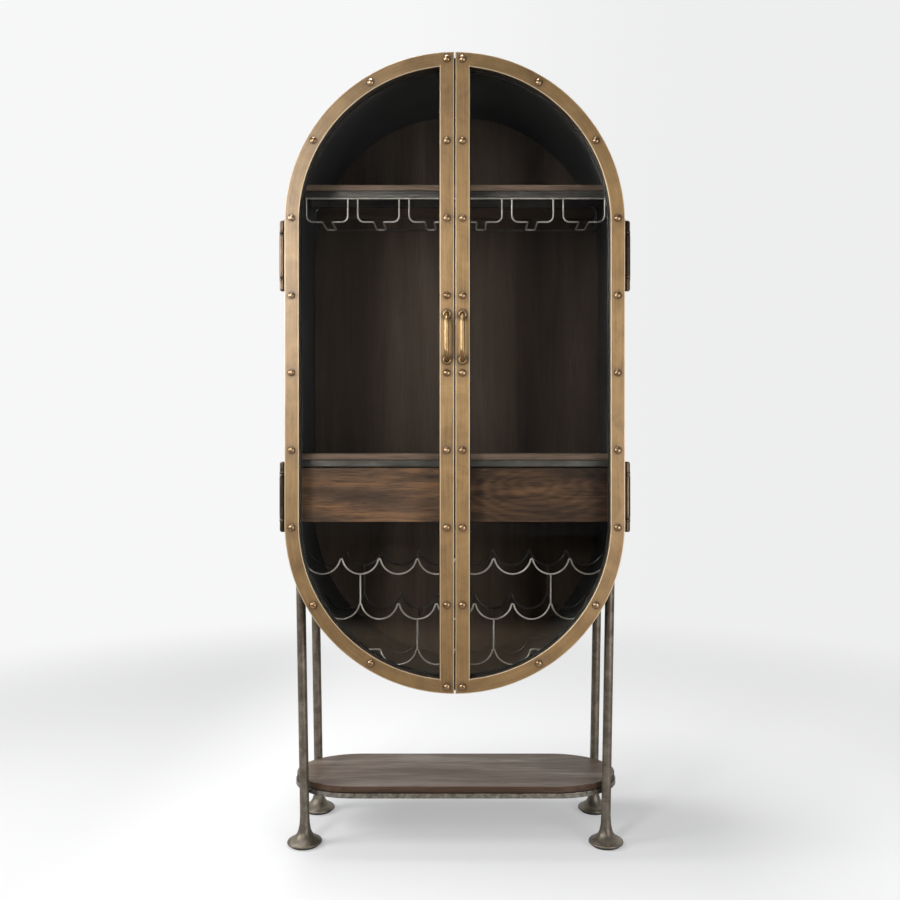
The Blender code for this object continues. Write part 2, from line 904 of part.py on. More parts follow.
def cradle_end_point(travel, valley_x, valley_z):
    """Point of the outermost cradle's outer half: an arc, then straight on to the wall."""
    arc_travel = wine_cradle_radius * math.radians(wine_end_angle)
    angle = min(travel, arc_travel) / wine_cradle_radius
    straight = max(travel - arc_travel, 0.0)
    x = valley_x + wine_cradle_radius * math.sin(angle) + straight * math.cos(angle)
    z = valley_z + wine_cradle_radius * (1 - math.cos(angle)) + straight * math.sin(angle)
    return x, z


def cradle_end(valley_x, valley_z):
    """Points from the outermost valley out to the wall of the case."""
    limit = fit_radius - wine_wire_radius
    low = 0.0
    high = wine_pitch
    for _ in range(30):
        middle = (low + high) / 2
        x, z = cradle_end_point(middle, valley_x, valley_z)
        if math.hypot(x, z - lower_centre_z) < limit:
            low = middle
        else:
            high = middle
    steps = cradle_segments - 1
    return [cradle_end_point(low * step / steps, valley_x, valley_z) for step in range(1, steps + 1)]


def half_cradle(valley_x, valley_z, segments, slope):
    """Points of a cradle's arc from just past its valley up to the start of the tip."""
    points = []
    for step in range(1, segments + 1):
        angle = slope * step / segments
        x = valley_x + wine_cradle_radius * math.sin(angle)
        points.append((x, valley_z + wine_cradle_radius * (1 - math.cos(angle))))
    return points


def scallop(cradles, valley_z, flat_ends):
    """X and Z of one row's wire, from the middle of the row out to its right end."""
    reach = wine_cradle_radius + wine_tip_radius
    slope = math.asin(wine_pitch / 2 / reach)
    tip_z = valley_z + reach * (1 - math.cos(slope)) - wine_tip_radius
    half_segments = cradle_segments // 2
    first_valley = 0.0 if cradles % 2 else wine_pitch / 2
    points = []
    for number in range((cradles + 1) // 2):
        valley_x = first_valley + number * wine_pitch
        last = number == (cradles + 1) // 2 - 1
        if valley_x > 0.0:
            inner = half_cradle(valley_x, valley_z, half_segments, slope)
            points += [(2 * valley_x - x, z) for x, z in reversed(inner)]
        points.append((valley_x, valley_z))
        if last and not flat_ends:
            points += cradle_end(valley_x, valley_z)
            break
        points += half_cradle(valley_x, valley_z, half_segments, slope)
        tip_x = valley_x + wine_pitch / 2
        turn = slope if last else 2 * slope
        for step in range(1, tip_segments if not last else tip_segments + 1):
            angle = slope - turn * step / tip_segments
            points.append((tip_x - wine_tip_radius * math.sin(angle), tip_z + wine_tip_radius * math.cos(angle)))
        if last:
            top = tip_z + wine_tip_radius
            points.append((wall_half_width(top - wine_wire_radius, fit_radius), top))
    if first_valley > 0.0:
        points = [(0.0, tip_z + wine_tip_radius)] + points
    return points, tip_z + wine_tip_radius


def make_wine_grid(word, depth, rise):
    """Three rows of cradles, the lower two with the struts that hold up the row above."""
    row_words = ("top", "middle", "bottom")
    grid_y = at(depth)
    for index, (row_z, cradles) in enumerate(zip(wine_row_z_places, wine_row_cradles)):
        valley_z = row_z + rise
        half, peak_z = scallop(cradles, valley_z, index == len(row_words) - 1)
        mirrored = [(-x, z) for x, z in reversed(half) if x > 0.0]
        name = f"wine_rack_{word}_{row_words[index]}"
        row = wire(name, [(x, grid_y, z) for x, z in mirrored + half], wine_wire_radius, bright_wire)
        if index == 0:
            continue
        strut_x = wine_pitch * (cradles - 2) / 2
        strut_top = wine_row_z_places[index - 1] + rise - wine_wire_radius - clearance
        for side in (-1, 1):
            strut = rod(
                f"{name}_strut_{side_word(side)}",
                (side * strut_x, grid_y, peak_z),
                (side * strut_x, grid_y, strut_top),
                wine_wire_radius,
                hidden=True,
                sides=8,
            )
            join(row, strut)


def make_leg(side, end_word, depth):
    """Straight tube from a turned foot up to the round underside of the case."""
    word = side_word(side)
    top_z = lower_centre_z
    foot_top = Vector((side * leg_foot_x, at(depth), foot_height))
    case_mark = Vector((side * leg_top_x, at(depth), wall_half_width_z(leg_top_x)))
    direction = (case_mark - foot_top).normalized()
    start = foot_top + direction * clearance
    end = foot_top + direction * (top_z - foot_height)
    leg = rod(f"leg_{end_word}_{word}", start, end, leg_radius, stand_steel)
    cut(leg, case_envelope)

    rise = foot_height - foot_disc_height
    spread = foot_shoulder_radius - leg_radius
    profile = [(0.0, foot_height), (leg_radius + foot_collar, foot_height)]
    for height_share, radius_share in zip(
        reversed(foot_flare_height_shares), reversed(foot_flare_radius_shares)
    ):
        profile.append((leg_radius + foot_collar + spread * radius_share, foot_disc_height + rise * height_share))
    profile += [
        (foot_shoulder_radius, foot_disc_height),
        (foot_widest_radius, foot_widest_z + (foot_disc_height - foot_widest_z) / 3),
        (foot_widest_radius, foot_widest_z / 2),
        (foot_base_radius, 0.0),
        (0.0, 0.0),
    ]
    turned(f"foot_{end_word}_{word}", profile, (side * leg_foot_x, at(depth), 0.0), stand_steel, foot_sides)


def wall_half_width_z(x):
    """Height of the case's round underside at a distance from the middle."""
    return lower_centre_z - math.sqrt(case_radius ** 2 - x ** 2)


def make_lower_shelf():
    """Oval board on an angle-iron hoop, with a lug to each leg."""
    board_low = lower_shelf_top_z - lower_board_thickness
    board = level_plate(
        "lower_shelf_board",
        [lower_shelf_outline(lower_board_half_length, lower_board_half_width)],
        board_low,
        lower_shelf_top_z,
        light_wood,
    )
    edge = board.modifiers.new("soft_edge", "BEVEL")
    edge.width = clearance * 4
    edge.segments = 1
    edge.limit_method = "ANGLE"
    edge.angle_limit = math.radians(50)

    half_length = lower_board_half_length + hoop_overhang
    half_width = lower_board_half_width + hoop_side_overhang
    hoop_high = board_low - clearance
    hoop_low = hoop_high - hoop_height
    outer = lower_shelf_outline(half_length, half_width)
    hoop = level_plate("lower_shelf_hoop", [outer], hoop_low, hoop_high, stand_steel)
    pocket = level_plate(
        "hoop_pocket",
        [lower_shelf_outline(half_length - hoop_wall, half_width - hoop_wall)],
        hoop_low - overrun,
        hoop_high - hoop_flange_thickness,
        hidden=True,
    )
    opening = level_plate(
        "hoop_opening",
        [lower_shelf_outline(half_length - hoop_flange_width, half_width - hoop_flange_width)],
        hoop_low - overrun,
        hoop_high + overrun,
        hidden=True,
    )
    cut(hoop, pocket)
    cut(hoop, opening)
    lug_z = (hoop_low + hoop_high) / 2
    lean_share = (lug_z - foot_height) / (wall_half_width_z(leg_top_x) - foot_height)
    leg_x = leg_foot_x + (leg_top_x - leg_foot_x) * lean_share
    for side in (-1, 1):
        for end_word, depth in (("front", leg_front_depth), ("rear", leg_rear_depth)):
            leg_place = Vector((side * leg_x, at(depth), lug_z))
            hoop_place = nearest_on_outline(outer, leg_place.xy).to_3d() + Vector((0.0, 0.0, lug_z))
            away = (leg_place - hoop_place).normalized()
            lug = rod(
                f"hoop_lug_{end_word}_{side_word(side)}",
                hoop_place - away * hoop_wall / 2,
                leg_place - away * (leg_radius + clearance),
                hoop_lug_radius,
                hidden=True,
                sides=10,
            )
            join(hoop, lug)


for old in list(bpy.data.objects):
    bpy.data.objects.remove(old)
bpy.context.scene.collection.children.link(cabinet_parts)
bpy.context.scene.collection.children.link(cutting_shapes)

brass = material("aged_brass", (0.52, 0.38, 0.23), 1.0, 0.38)
polished_brass = material("polished_brass", (0.66, 0.48, 0.26), 1.0, 0.22)
bronze = material("hinge_bronze", (0.33, 0.24, 0.15), 1.0, 0.35)
dark_steel = material("dark_steel", (0.09, 0.10, 0.11), 0.6, 0.45)
grey_steel = material("grey_steel", (0.20, 0.21, 0.20), 0.8, 0.42)
stand_steel = material("stand_steel", (0.26, 0.24, 0.22), 0.9, 0.40)
bright_wire = material("bright_wire", (0.45, 0.45, 0.43), 1.0, 0.30)
dark_wood = material("dark_wood", (0.06, 0.045, 0.035), 0.0, 0.55)
shelf_wood = material("shelf_wood", (0.16, 0.11, 0.08), 0.0, 0.50)
drawer_wood = material("drawer_wood", (0.12, 0.075, 0.045), 0.0, 0.48)
light_wood = material("lower_shelf_wood", (0.24, 0.19, 0.16), 0.0, 0.50)
glass = material("door_glass", (0.92, 0.95, 0.95), 0.0, 0.03, 0.20)

case_envelope = upright_plate(
    "case_envelope",
    [stadium_outline(case_radius + clearance)],
    case_front_depth - overrun,
    case_back_depth + overrun,
    hidden=True,
)
make_case()
for door_side in (-1, 1):
    make_door(door_side)
    make_handle(door_side)
    for hinge_mark, hinge_z in zip(("lower", "upper"), hinge_z_places):
        make_hinge(door_side, hinge_z, hinge_mark)
make_stemware_rack(make_upper_shelf())
make_middle_shelf()
make_drawer_bay()
for drawer_side in (-1, 1):
    make_drawer(drawer_side)
make_wine_grid("front", wine_front_depth, 0.0)
make_wine_grid("rear", rack_rear_depth, wine_rear_rise)
for leg_side in (-1, 1):
    make_leg(leg_side, "front", leg_front_depth)
    make_leg(leg_side, "rear", leg_rear_depth)
make_lower_shelf()
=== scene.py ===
import json
import math

import bmesh
import bpy
from mathutils import Matrix, Vector


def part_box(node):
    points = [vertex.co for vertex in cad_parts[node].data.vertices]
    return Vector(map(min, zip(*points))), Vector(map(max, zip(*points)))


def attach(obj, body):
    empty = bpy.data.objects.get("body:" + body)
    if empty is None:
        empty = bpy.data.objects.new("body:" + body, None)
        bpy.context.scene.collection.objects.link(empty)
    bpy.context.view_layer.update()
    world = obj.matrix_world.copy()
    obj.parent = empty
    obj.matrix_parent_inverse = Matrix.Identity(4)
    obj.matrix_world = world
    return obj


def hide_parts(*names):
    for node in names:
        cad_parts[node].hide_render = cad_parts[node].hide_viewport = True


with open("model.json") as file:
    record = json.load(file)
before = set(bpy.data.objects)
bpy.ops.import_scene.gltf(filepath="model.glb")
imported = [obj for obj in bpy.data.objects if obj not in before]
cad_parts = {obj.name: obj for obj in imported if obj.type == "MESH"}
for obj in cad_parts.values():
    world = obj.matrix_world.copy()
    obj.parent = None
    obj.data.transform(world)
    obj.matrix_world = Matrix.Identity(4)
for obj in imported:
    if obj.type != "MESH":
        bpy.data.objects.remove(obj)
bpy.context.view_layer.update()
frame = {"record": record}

SCENE = bpy.context.scene
RECORD = frame["record"]
BODY_OF = {node: body for body, members in RECORD["behaviour"]["bodies"].items() for node in members}
SIDES = (("left", -1), ("right", 1))
ORIGIN = (0.0, 0.0, 0.0)
FORWARD = Vector((0.0, -1.0, 0.0))

# Sizes in metres. A depth is measured back from the plane of the doors' faces.
GAP = 0.0003
CASE_RADIUS = 0.420
UPPER_CENTRE_Z = 1.584
LOWER_CENTRE_Z = 0.840
CASE_MIDDLE_Z = (UPPER_CENTRE_Z + LOWER_CENTRE_Z) / 2
CASE_FRONT_DEPTH = 0.036
CASE_BACK_DEPTH = 0.460
SHELL_THICKNESS = 0.0016
SHELL_FLANGE = 0.018
MEETING_HALF_GAP = 0.0018
FRAME_WIDTH = 0.035
FRAME_FACE = 0.003
FRAME_FLANGE = 0.0025
FRAME_DEPTH = 0.027
STILE_X = MEETING_HALF_GAP + FRAME_WIDTH / 2
GLASS_INSET = 0.015
GLASS_THICKNESS = 0.004
GLASS_FRONT_DEPTH = FRAME_DEPTH + GAP
GLASS_BACK_DEPTH = GLASS_FRONT_DEPTH + GLASS_THICKNESS
DOOR_FACE_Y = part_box("door_glass_left")[0].y - GLASS_FRONT_DEPTH
ARC_STEPS = 64


def at(depth):
    """World Y of a depth behind the doors' faces."""
    return DOOR_FACE_Y + depth


# Shader nodes

def fill(tree, made, inputs):
    """Gives a node's inputs their values or links."""
    for name, value in inputs.items():
        if isinstance(value, bpy.types.NodeSocket):
            tree.links.new(value, made.inputs[name])
        else:
            made.inputs[name].default_value = value


def node(tree, kind, inputs=None, **settings):
    """New shader node, with values or links for its inputs."""
    made = tree.nodes.new("ShaderNode" + kind)
    for name, value in settings.items():
        setattr(made, name, value)
    fill(tree, made, inputs or {})
    return made


def new_material(name):
    made = bpy.data.materials.new(name)
    made.use_nodes = True
    tree = made.node_tree
    return made, tree, tree.nodes["Principled BSDF"]


def coordinates(tree, kind="Object"):
    """X, Y and Z sockets of a kind of texture coordinates."""
    return node(tree, "SeparateXYZ", {0: node(tree, "TexCoord").outputs[kind]}).outputs


def noise_at(tree, vector, detail, roughness, distortion=0.0):
    look = {"Scale": 1.0, "Detail": detail, "Roughness": roughness, "Distortion": distortion}
    return node(tree, "TexNoise", {"Vector": vector, **look}).outputs[0]


def stretched(tree, vector, scale):
    return node(tree, "VectorMath", {0: vector, 1: scale}, operation="MULTIPLY").outputs[0]


def noise(tree, scale, detail, roughness, distortion=0.0, place=ORIGIN):
    """Noise with one scale or a scale for each axis, in cycles a metre."""
    if not isinstance(scale, tuple):
        scale = (scale, scale, scale)
    inputs = {"Vector": node(tree, "TexCoord").outputs["Object"], "Scale": scale, "Location": place}
    return noise_at(tree, node(tree, "Mapping", inputs).outputs[0], detail, roughness, distortion)


def carry(tree, value, low, high, first=0.0, last=1.0, smooth=False):
    """Value carried from a range, low to high, to another, first to last, and held past its ends."""
    inputs = {"Value": value, "From Min": low, "From Max": high, "To Min": first, "To Max": last}
    return node(tree, "MapRange", inputs, interpolation_type="SMOOTHSTEP" if smooth else "LINEAR").outputs[0]


def ramp(tree, factor, *stops):
    """Colour ramp from pairs of position and colour or grey."""
    made = node(tree, "ValToRGB", {"Fac": factor})
    elements = made.color_ramp.elements
    while len(elements) < len(stops):
        elements.new(0.5)
    for element, (position, colour) in zip(elements, stops):
        if not isinstance(colour, tuple):
            colour = (colour, colour, colour)
        element.position = position
        element.color = (*colour, 1.0)
    return made.outputs[0]


def blend(tree, factor, first, second):
    """Mix of two colours, each a link or three numbers."""
    first, second = [(*value, 1.0) if isinstance(value, tuple) else value for value in (first, second)]
    return node(tree, "Mix", {0: factor, 6: first, 7: second}, data_type="RGBA").outputs[2]


def maths(tree, operation, *values):
    return node(tree, "Math", dict(enumerate(values)), operation=operation).outputs[0]


def product(tree, first, second):
    return maths(tree, "MULTIPLY", first, second)


def scaled(tree, value, share, extra):
    """Value times a share, plus an extra."""
    return maths(tree, "MULTIPLY_ADD", value, share, extra)


def bump(tree, height, strength, distance=0.0004):
    return node(tree, "Bump", {"Height": height, "Strength": strength, "Distance": distance}).outputs[0]


def shaded(colour, share):
    return tuple(value * share for value in colour)


# Materials

SPECK_SHARE = 0.35
CLOUD_SHARE = 0.82
# Painted shade in corners and creases is the dark colour times this share
CORNER_SHADE_SHARE = 0.30


def worn_metal(
    name, dark, base, light, metallic, roughness, spread, blotch, corner_shade,
    grain=260.0, pitting=0.15, corner_shade_reach=0.010,
):
    """Metal with a mottled patina, fine grain and painted shade in its corners and creases, from ambient
    occlusion.
    """
    made, tree, shader = new_material(name)
    clouds = noise(tree, blotch, 5.0, 0.62, 0.4)
    specks = noise(tree, grain, 3.0, 0.6)
    mottled = scaled(tree, specks, SPECK_SHARE, product(tree, clouds, CLOUD_SHARE))
    colour = ramp(tree, mottled, (0.36, dark), (0.56, base), (0.78, light))
    # Painted shade: darker in corners and creases, found by ambient occlusion
    hollow = node(tree, "AmbientOcclusion", {"Distance": corner_shade_reach}, samples=8)
    occlusion_darkening = ramp(tree, hollow.outputs["AO"], (0.35, corner_shade), (0.92, 0.0))
    rough = scaled(tree, specks, spread, roughness - spread)
    fill(tree, shader, {
        "Base Color": blend(tree, occlusion_darkening, colour, shaded(dark, CORNER_SHADE_SHARE)),
        "Metallic": metallic,
        "Roughness": scaled(tree, clouds, spread, rough),
        "Normal": bump(tree, mottled, pitting),
    })
    return made


def band_places(tree, place):
    """Where a point lies on a door's band, and whether it lies on the meeting stile."""
    x = place["X"]
    limits = {"Value": place["Z"], "Min": LOWER_CENTRE_Z, "Max": UPPER_CENTRE_Z}
    held = node(tree, "Clamp", limits).outputs[0]
    rise = maths(tree, "SUBTRACT", place["Z"], held)
    width = maths(tree, "ABSOLUTE", x)
    radius = maths(tree, "SQRT", scaled(tree, x, x, product(tree, rise, rise)))
    on_stile = maths(tree, "LESS_THAN", width, MEETING_HALF_GAP + FRAME_WIDTH + GAP)
    from_rim = maths(tree, "SUBTRACT", CASE_RADIUS, radius)
    from_middle = maths(tree, "SUBTRACT", width, MEETING_HALF_GAP)
    stile_more = maths(tree, "SUBTRACT", from_middle, from_rim)
    across = scaled(tree, on_stile, stile_more, from_rim)
    off_stile = maths(tree, "SUBTRACT", 1.0, on_stile)
    bend = product(tree, maths(tree, "ARCTAN2", rise, width), off_stile)
    straight = scaled(tree, on_stile, rise, held)
    along = scaled(tree, bend, CASE_RADIUS, straight)
    return rise, on_stile, from_rim, across, along


TANGENT_LEAN = 0.05


def band_tangent(tree, x, rise, on_stile):
    """Direction across a door's band, for metal that is brushed along the band."""
    off_stile = maths(tree, "SUBTRACT", 1.0, on_stile)
    sideways = scaled(tree, x, off_stile, on_stile)
    upwards = product(tree, rise, off_stile)
    direction = node(tree, "CombineXYZ", {"X": sideways, "Y": TANGENT_LEAN, "Z": upwards}).outputs[0]
    settings = {"vector_type": "VECTOR", "convert_from": "OBJECT", "convert_to": "WORLD"}
    return node(tree, "VectorTransform", {"Vector": direction}, **settings).outputs[0]


STREAK_SCALE = (230.0, 3.0, 7.0)
HAIR_SCALE = (1500.0, 3.0, 40.0)
# Painted highlight along the band's front edges: its strength, then the distances from an edge where it is
# full and where it ends
EDGE_HIGHLIGHT_STRENGTH = 0.85
EDGE_HIGHLIGHT_FULL = 0.0008
EDGE_HIGHLIGHT_END = 0.0026
FACE_NEAR = 0.0014
FACE_FAR = 0.0030
CORNER_LAP = 0.004
# Reach of the stain and painted shade round the fixings
STAIN_AND_SHADE_REACH = 0.016
# Painted shade inside the channel is the dark colour times this share
PAINTED_INSIDE_SHADE = 0.12


def band_brass(name, dark, base, light, edge, stain_and_shade):
    """Brass brushed along the doors' bands, with stain and painted shade round the fixings, a painted
    highlight along its front edges and painted shade inside.
    """
    made, tree, shader = new_material(name)
    place = coordinates(tree)
    rise, on_stile, from_rim, across, along = band_places(tree, place)
    half = maths(tree, "SIGN", place["X"])
    brushed = node(tree, "CombineXYZ", {"X": across, "Y": half, "Z": along}).outputs[0]
    streaks = noise_at(tree, stretched(tree, brushed, STREAK_SCALE), 5.0, 0.6)
    hairs = noise_at(tree, stretched(tree, brushed, HAIR_SCALE), 2.0, 0.5)
    clouds = noise(tree, 13.0, 6.0, 0.66, 0.6)
    tone = scaled(tree, streaks, 0.34, product(tree, clouds, 0.50))
    tone = scaled(tree, hairs, 0.16, tone)
    colour = ramp(tree, tone, (0.36, dark), (0.50, base), (0.66, light))

    # Painted highlight along the band's edges, on its front face only
    joined = maths(tree, "LESS_THAN", from_rim, FRAME_WIDTH - CORNER_LAP)
    to_edge = maths(tree, "SUBTRACT", FRAME_WIDTH, across)
    other_edge = scaled(tree, joined, CASE_RADIUS, to_edge)
    from_edge = maths(tree, "MINIMUM", maths(tree, "MINIMUM", across, from_rim), other_edge)
    edge_highlight = carry(tree, from_edge, EDGE_HIGHLIGHT_FULL, EDGE_HIGHLIGHT_END, EDGE_HIGHLIGHT_STRENGTH, 0.0)
    depth = maths(tree, "SUBTRACT", place["Y"], DOOR_FACE_Y)
    on_face = carry(tree, depth, FACE_NEAR, FACE_FAR, 1.0, 0.0)
    colour = blend(tree, product(tree, edge_highlight, on_face), colour, edge)
    # Stain with painted shade round the rivets, handles and hinges, from ambient occlusion
    near = node(tree, "AmbientOcclusion", {"Distance": STAIN_AND_SHADE_REACH}, samples=12)
    occlusion_darkening = ramp(tree, near.outputs["AO"], (0.62, 0.95), (0.86, 0.60), (0.992, 0.0))
    colour = blend(tree, occlusion_darkening, colour, stain_and_shade)
    # Painted shade on the channel's inner faces, behind the band's face
    deep = maths(tree, "GREATER_THAN", depth, FRAME_FACE)
    inside = maths(tree, "GREATER_THAN", from_rim, FRAME_FLANGE + GAP)
    inside_shade = product(tree, deep, inside)
    fill(tree, shader, {
        "Base Color": blend(tree, inside_shade, colour, shaded(dark, PAINTED_INSIDE_SHADE)),
        "Metallic": 0.72,
        "Coat Weight": 0.90,
        "Coat IOR": 1.7,
        "Coat Roughness": 0.38,
        "Anisotropic": 0.70,
        "Tangent": band_tangent(tree, place["X"], rise, on_stile),
        "Roughness": scaled(tree, tone, 0.16, 0.52),
        "Normal": bump(tree, scaled(tree, hairs, 0.5, streaks), 0.10, 0.0003),
    })
    return made


# Cycles a metre across the grain and along it
BAND_SCALES = (34.0, 2.2)
FIGURE_SCALES = (9.0, 1.3)
PORE_SCALES = (520.0, 14.0)
KNOT_WIDENING = 0.45
KNOT_UNEVENNESS = 0.08
KNOT_RINGS = 380.0
KNOT_CONTRAST = 0.028
KNOT_WARMTH = 0.070
KNOT_FADE = 1.8
KNOT_CHILL = 0.02
PORE_SHADE = 0.35


def grained(scales, grain_axis, spread, pull):
    across, along = scales
    return tuple(along * spread / pull if axis == grain_axis else across * spread for axis in range(3))


def knotted(tree, tone, unevenness, knot):
    """Tone with rings and warmth round a knot."""
    spot = coordinates(tree)
    sideways = scaled(tree, spot["X"], KNOT_WIDENING, -KNOT_WIDENING * knot[0])
    upwards = maths(tree, "SUBTRACT", spot["Z"], knot[1])
    square = scaled(tree, sideways, sideways, product(tree, upwards, upwards))
    distance = maths(tree, "SQRT", square)
    reach = scaled(tree, unevenness, KNOT_UNEVENNESS, distance)
    rings = maths(tree, "SINE", product(tree, reach, KNOT_RINGS))
    warm = maths(tree, "MAXIMUM", scaled(tree, distance, -KNOT_FADE, KNOT_WARMTH), -KNOT_CHILL)
    return maths(tree, "ADD", scaled(tree, rings, KNOT_CONTRAST, tone), warm)


def wood(
    name, dark, middle, light, grain_axis, figure, shine, pores=0.5, relief=0.10, place=ORIGIN,
    spread=1.0, pull=1.0, gloss=0.22, knot=None,
):
    """Open-grained wood whose grain runs along one axis (0, 1 or 2). Less pull gives a rounder figure.

    A knot is the x and z of a spot that rings of grain run round.
    """
    made, tree, shader = new_material(name)
    bands = noise(tree, grained(BAND_SCALES, grain_axis, spread, pull), 5.0, 0.62, 0.9 * figure, place)
    clouds = noise(tree, grained(FIGURE_SCALES, grain_axis, spread, pull), 3.0, 0.5, 1.6 * figure, place)
    pore_lines = noise(tree, grained(PORE_SCALES, grain_axis, 1.0, pull), 2.0, 0.5, 0.0, place)
    tone = scaled(tree, bands, 0.55, product(tree, clouds, 0.55))
    if knot:
        tone = knotted(tree, tone, clouds, knot)
    colour = ramp(tree, tone, (0.38, dark), (0.54, middle), (0.70, light))
    pore_mask = ramp(tree, pore_lines, (0.34, pores), (0.47, 0.0))
    fill(tree, shader, {
        "Base Color": blend(tree, pore_mask, colour, shaded(dark, PORE_SHADE)),
        "Roughness": scaled(tree, bands, 0.22, shine - 0.05),
        "Specular IOR Level": gloss,
        "Normal": bump(tree, scaled(tree, pore_lines, 0.6, bands), relief),
    })
    return made


def pane_glass(name):
    """Clear glass that lets the lamps' light through without a shadow."""
    made, tree, shader = new_material(name)
    fill(tree, shader, {
        "Base Color": (0.955, 0.960, 0.955, 1.0), "Roughness": 0.0, "IOR": 1.5, "Transmission Weight": 1.0,
    })
    shadow = node(tree, "LightPath").outputs["Is Shadow Ray"]
    clear = node(tree, "BsdfTransparent", {"Color": (0.905, 0.915, 0.91, 1.0)})
    switch = node(tree, "MixShader", {0: shadow, 1: shader.outputs[0], 2: clear.outputs[0]})
    fill(tree, tree.nodes["Material Output"], {"Surface": switch.outputs[0]})
    return made


BRASS = band_brass(
    "aged_brass_patina", (0.195, 0.110, 0.038), (0.345, 0.208, 0.078), (0.490, 0.312, 0.132),
    # The fourth colour is the painted edge highlight; the last is stain with painted shade round the fixings
    (0.92, 0.76, 0.52), (0.060, 0.030, 0.013),
)
RIVET_BRASS = worn_metal(
    "rivet_brass", (0.17, 0.098, 0.045), (0.37, 0.240, 0.128), (0.60, 0.43, 0.275),
    metallic=0.90, roughness=0.34, spread=0.12, blotch=60.0, corner_shade=0.90, corner_shade_reach=0.006,
)
HANDLE_BRASS = worn_metal(
    "polished_brass_wear", (0.25, 0.150, 0.066), (0.44, 0.292, 0.142), (0.60, 0.430, 0.235),
    metallic=0.95, roughness=0.42, spread=0.12, blotch=40.0, pitting=0.10, corner_shade=0.92, corner_shade_reach=0.005,
)
HINGE_BRONZE = worn_metal(
    "hinge_bronze_patina", (0.060, 0.040, 0.026), (0.100, 0.068, 0.045), (0.160, 0.114, 0.078),
    metallic=0.9, roughness=0.30, spread=0.12, blotch=16.0, pitting=0.20, corner_shade=0.85, corner_shade_reach=0.005,
)
CASE_STEEL = worn_metal(
    "case_dark_steel", (0.040, 0.042, 0.042), (0.056, 0.059, 0.058), (0.080, 0.083, 0.081),
    metallic=0.55, roughness=0.46, spread=0.09, blotch=5.0, pitting=0.08, corner_shade=0.4, corner_shade_reach=0.012,
)
BAR_STEEL = worn_metal(
    "shelf_bar_steel", (0.062, 0.057, 0.050), (0.084, 0.078, 0.069), (0.122, 0.114, 0.101),
    metallic=0.8, roughness=0.42, spread=0.18, blotch=14.0, grain=(30.0, 300.0, 300.0), pitting=0.12,
    corner_shade=0.75, corner_shade_reach=0.005,
)
STAND_STEEL = worn_metal(
    "stand_gunmetal", (0.090, 0.074, 0.056), (0.182, 0.156, 0.121), (0.300, 0.265, 0.215),
    metallic=0.80, roughness=0.48, spread=0.20, blotch=34.0, grain=330.0, pitting=0.45,
    corner_shade=0.80, corner_shade_reach=0.008,
)
HOOP_STEEL = worn_metal(
    "hoop_hammered_steel", (0.090, 0.080, 0.064), (0.230, 0.212, 0.180), (0.420, 0.395, 0.345),
    metallic=0.85, roughness=0.36, spread=0.20, blotch=70.0, grain=190.0, pitting=0.9,
    corner_shade=0.80, corner_shade_reach=0.006,
)
WIRE_STEEL = worn_metal(
    "rack_wire_steel", (0.32, 0.292, 0.258), (0.50, 0.462, 0.412), (0.67, 0.630, 0.575),
    metallic=0.80, roughness=0.46, spread=0.10, blotch=30.0, pitting=0.05, corner_shade=0.5, corner_shade_reach=0.003,
)
# A darker copy of the rack wire's steel for the rear wires: painted shade for the dark back of the case
REAR_WIRE_SHADED_STEEL = worn_metal(
    "rear_wire_steel_painted_shade", (0.030, 0.029, 0.027), (0.060, 0.058, 0.054), (0.105, 0.102, 0.096),
    metallic=0.95, roughness=0.34, spread=0.14, blotch=30.0, pitting=0.10, corner_shade=0.7, corner_shade_reach=0.004,
)
RUBBER = worn_metal(
    "foot_pad_rubber", (0.010, 0.010, 0.010), (0.018, 0.018, 0.018), (0.03, 0.03, 0.03),
    metallic=0.0, roughness=0.75, spread=0.10, blotch=60.0, corner_shade=0.3,
)
BACK_WOOD = wood(
    "back_panel_wood", (0.028, 0.0190, 0.0130), (0.045, 0.0315, 0.0222), (0.064, 0.0455, 0.0330),
    grain_axis=2, figure=0.7, shine=0.62, pores=0.30, relief=0.06, place=(0.35, 0.0, 0.2), spread=0.55,
    gloss=0.12,
)
SHELF_WOOD = wood(
    "shelf_wood_grain", (0.040, 0.025, 0.016), (0.095, 0.061, 0.039), (0.155, 0.104, 0.070), grain_axis=0,
    figure=0.7, shine=0.50,
)
DRAWER_WOODS = {
    "left": wood(
        "drawer_front_wood", (0.040, 0.025, 0.017), (0.095, 0.054, 0.031), (0.215, 0.108, 0.048),
        grain_axis=0, figure=1.3, shine=0.50, pores=0.55, place=(0.7, 0.0, 0.3), pull=0.6, gloss=0.14,
    ),
    # The right front's wood is a darker copy of the left's: partly painted shade, partly its own darker
    # tone, and with a knot of its own
    "right": wood(
        "drawer_front_wood_dark_and_shaded", (0.013, 0.0072, 0.004), (0.033, 0.0175, 0.0092), (0.100, 0.050, 0.022),
        grain_axis=0, figure=1.3, shine=0.50, pores=0.45, place=(1.9, 0.4, 0.9), pull=0.6, gloss=0.14,
        knot=(0.208, 0.929),
    ),
}
BOX_WOOD = wood(
    "drawer_box_wood", (0.035, 0.025, 0.018), (0.075, 0.052, 0.038), (0.12, 0.086, 0.063), grain_axis=1,
    figure=0.6, shine=0.5,
)
# The lower shelf's top and edge are lit and shaded copies of one wood: the top's paler, greyer light tone is
# partly painted sheen
LOW_SHELF_WOOD_AND_SHEEN = wood(
    "lower_shelf_wood_grain_and_sheen", (0.098, 0.064, 0.043), (0.182, 0.134, 0.100), (0.330, 0.280, 0.238),
    grain_axis=0, figure=0.9, shine=0.40, pores=0.62, relief=0.22,
)
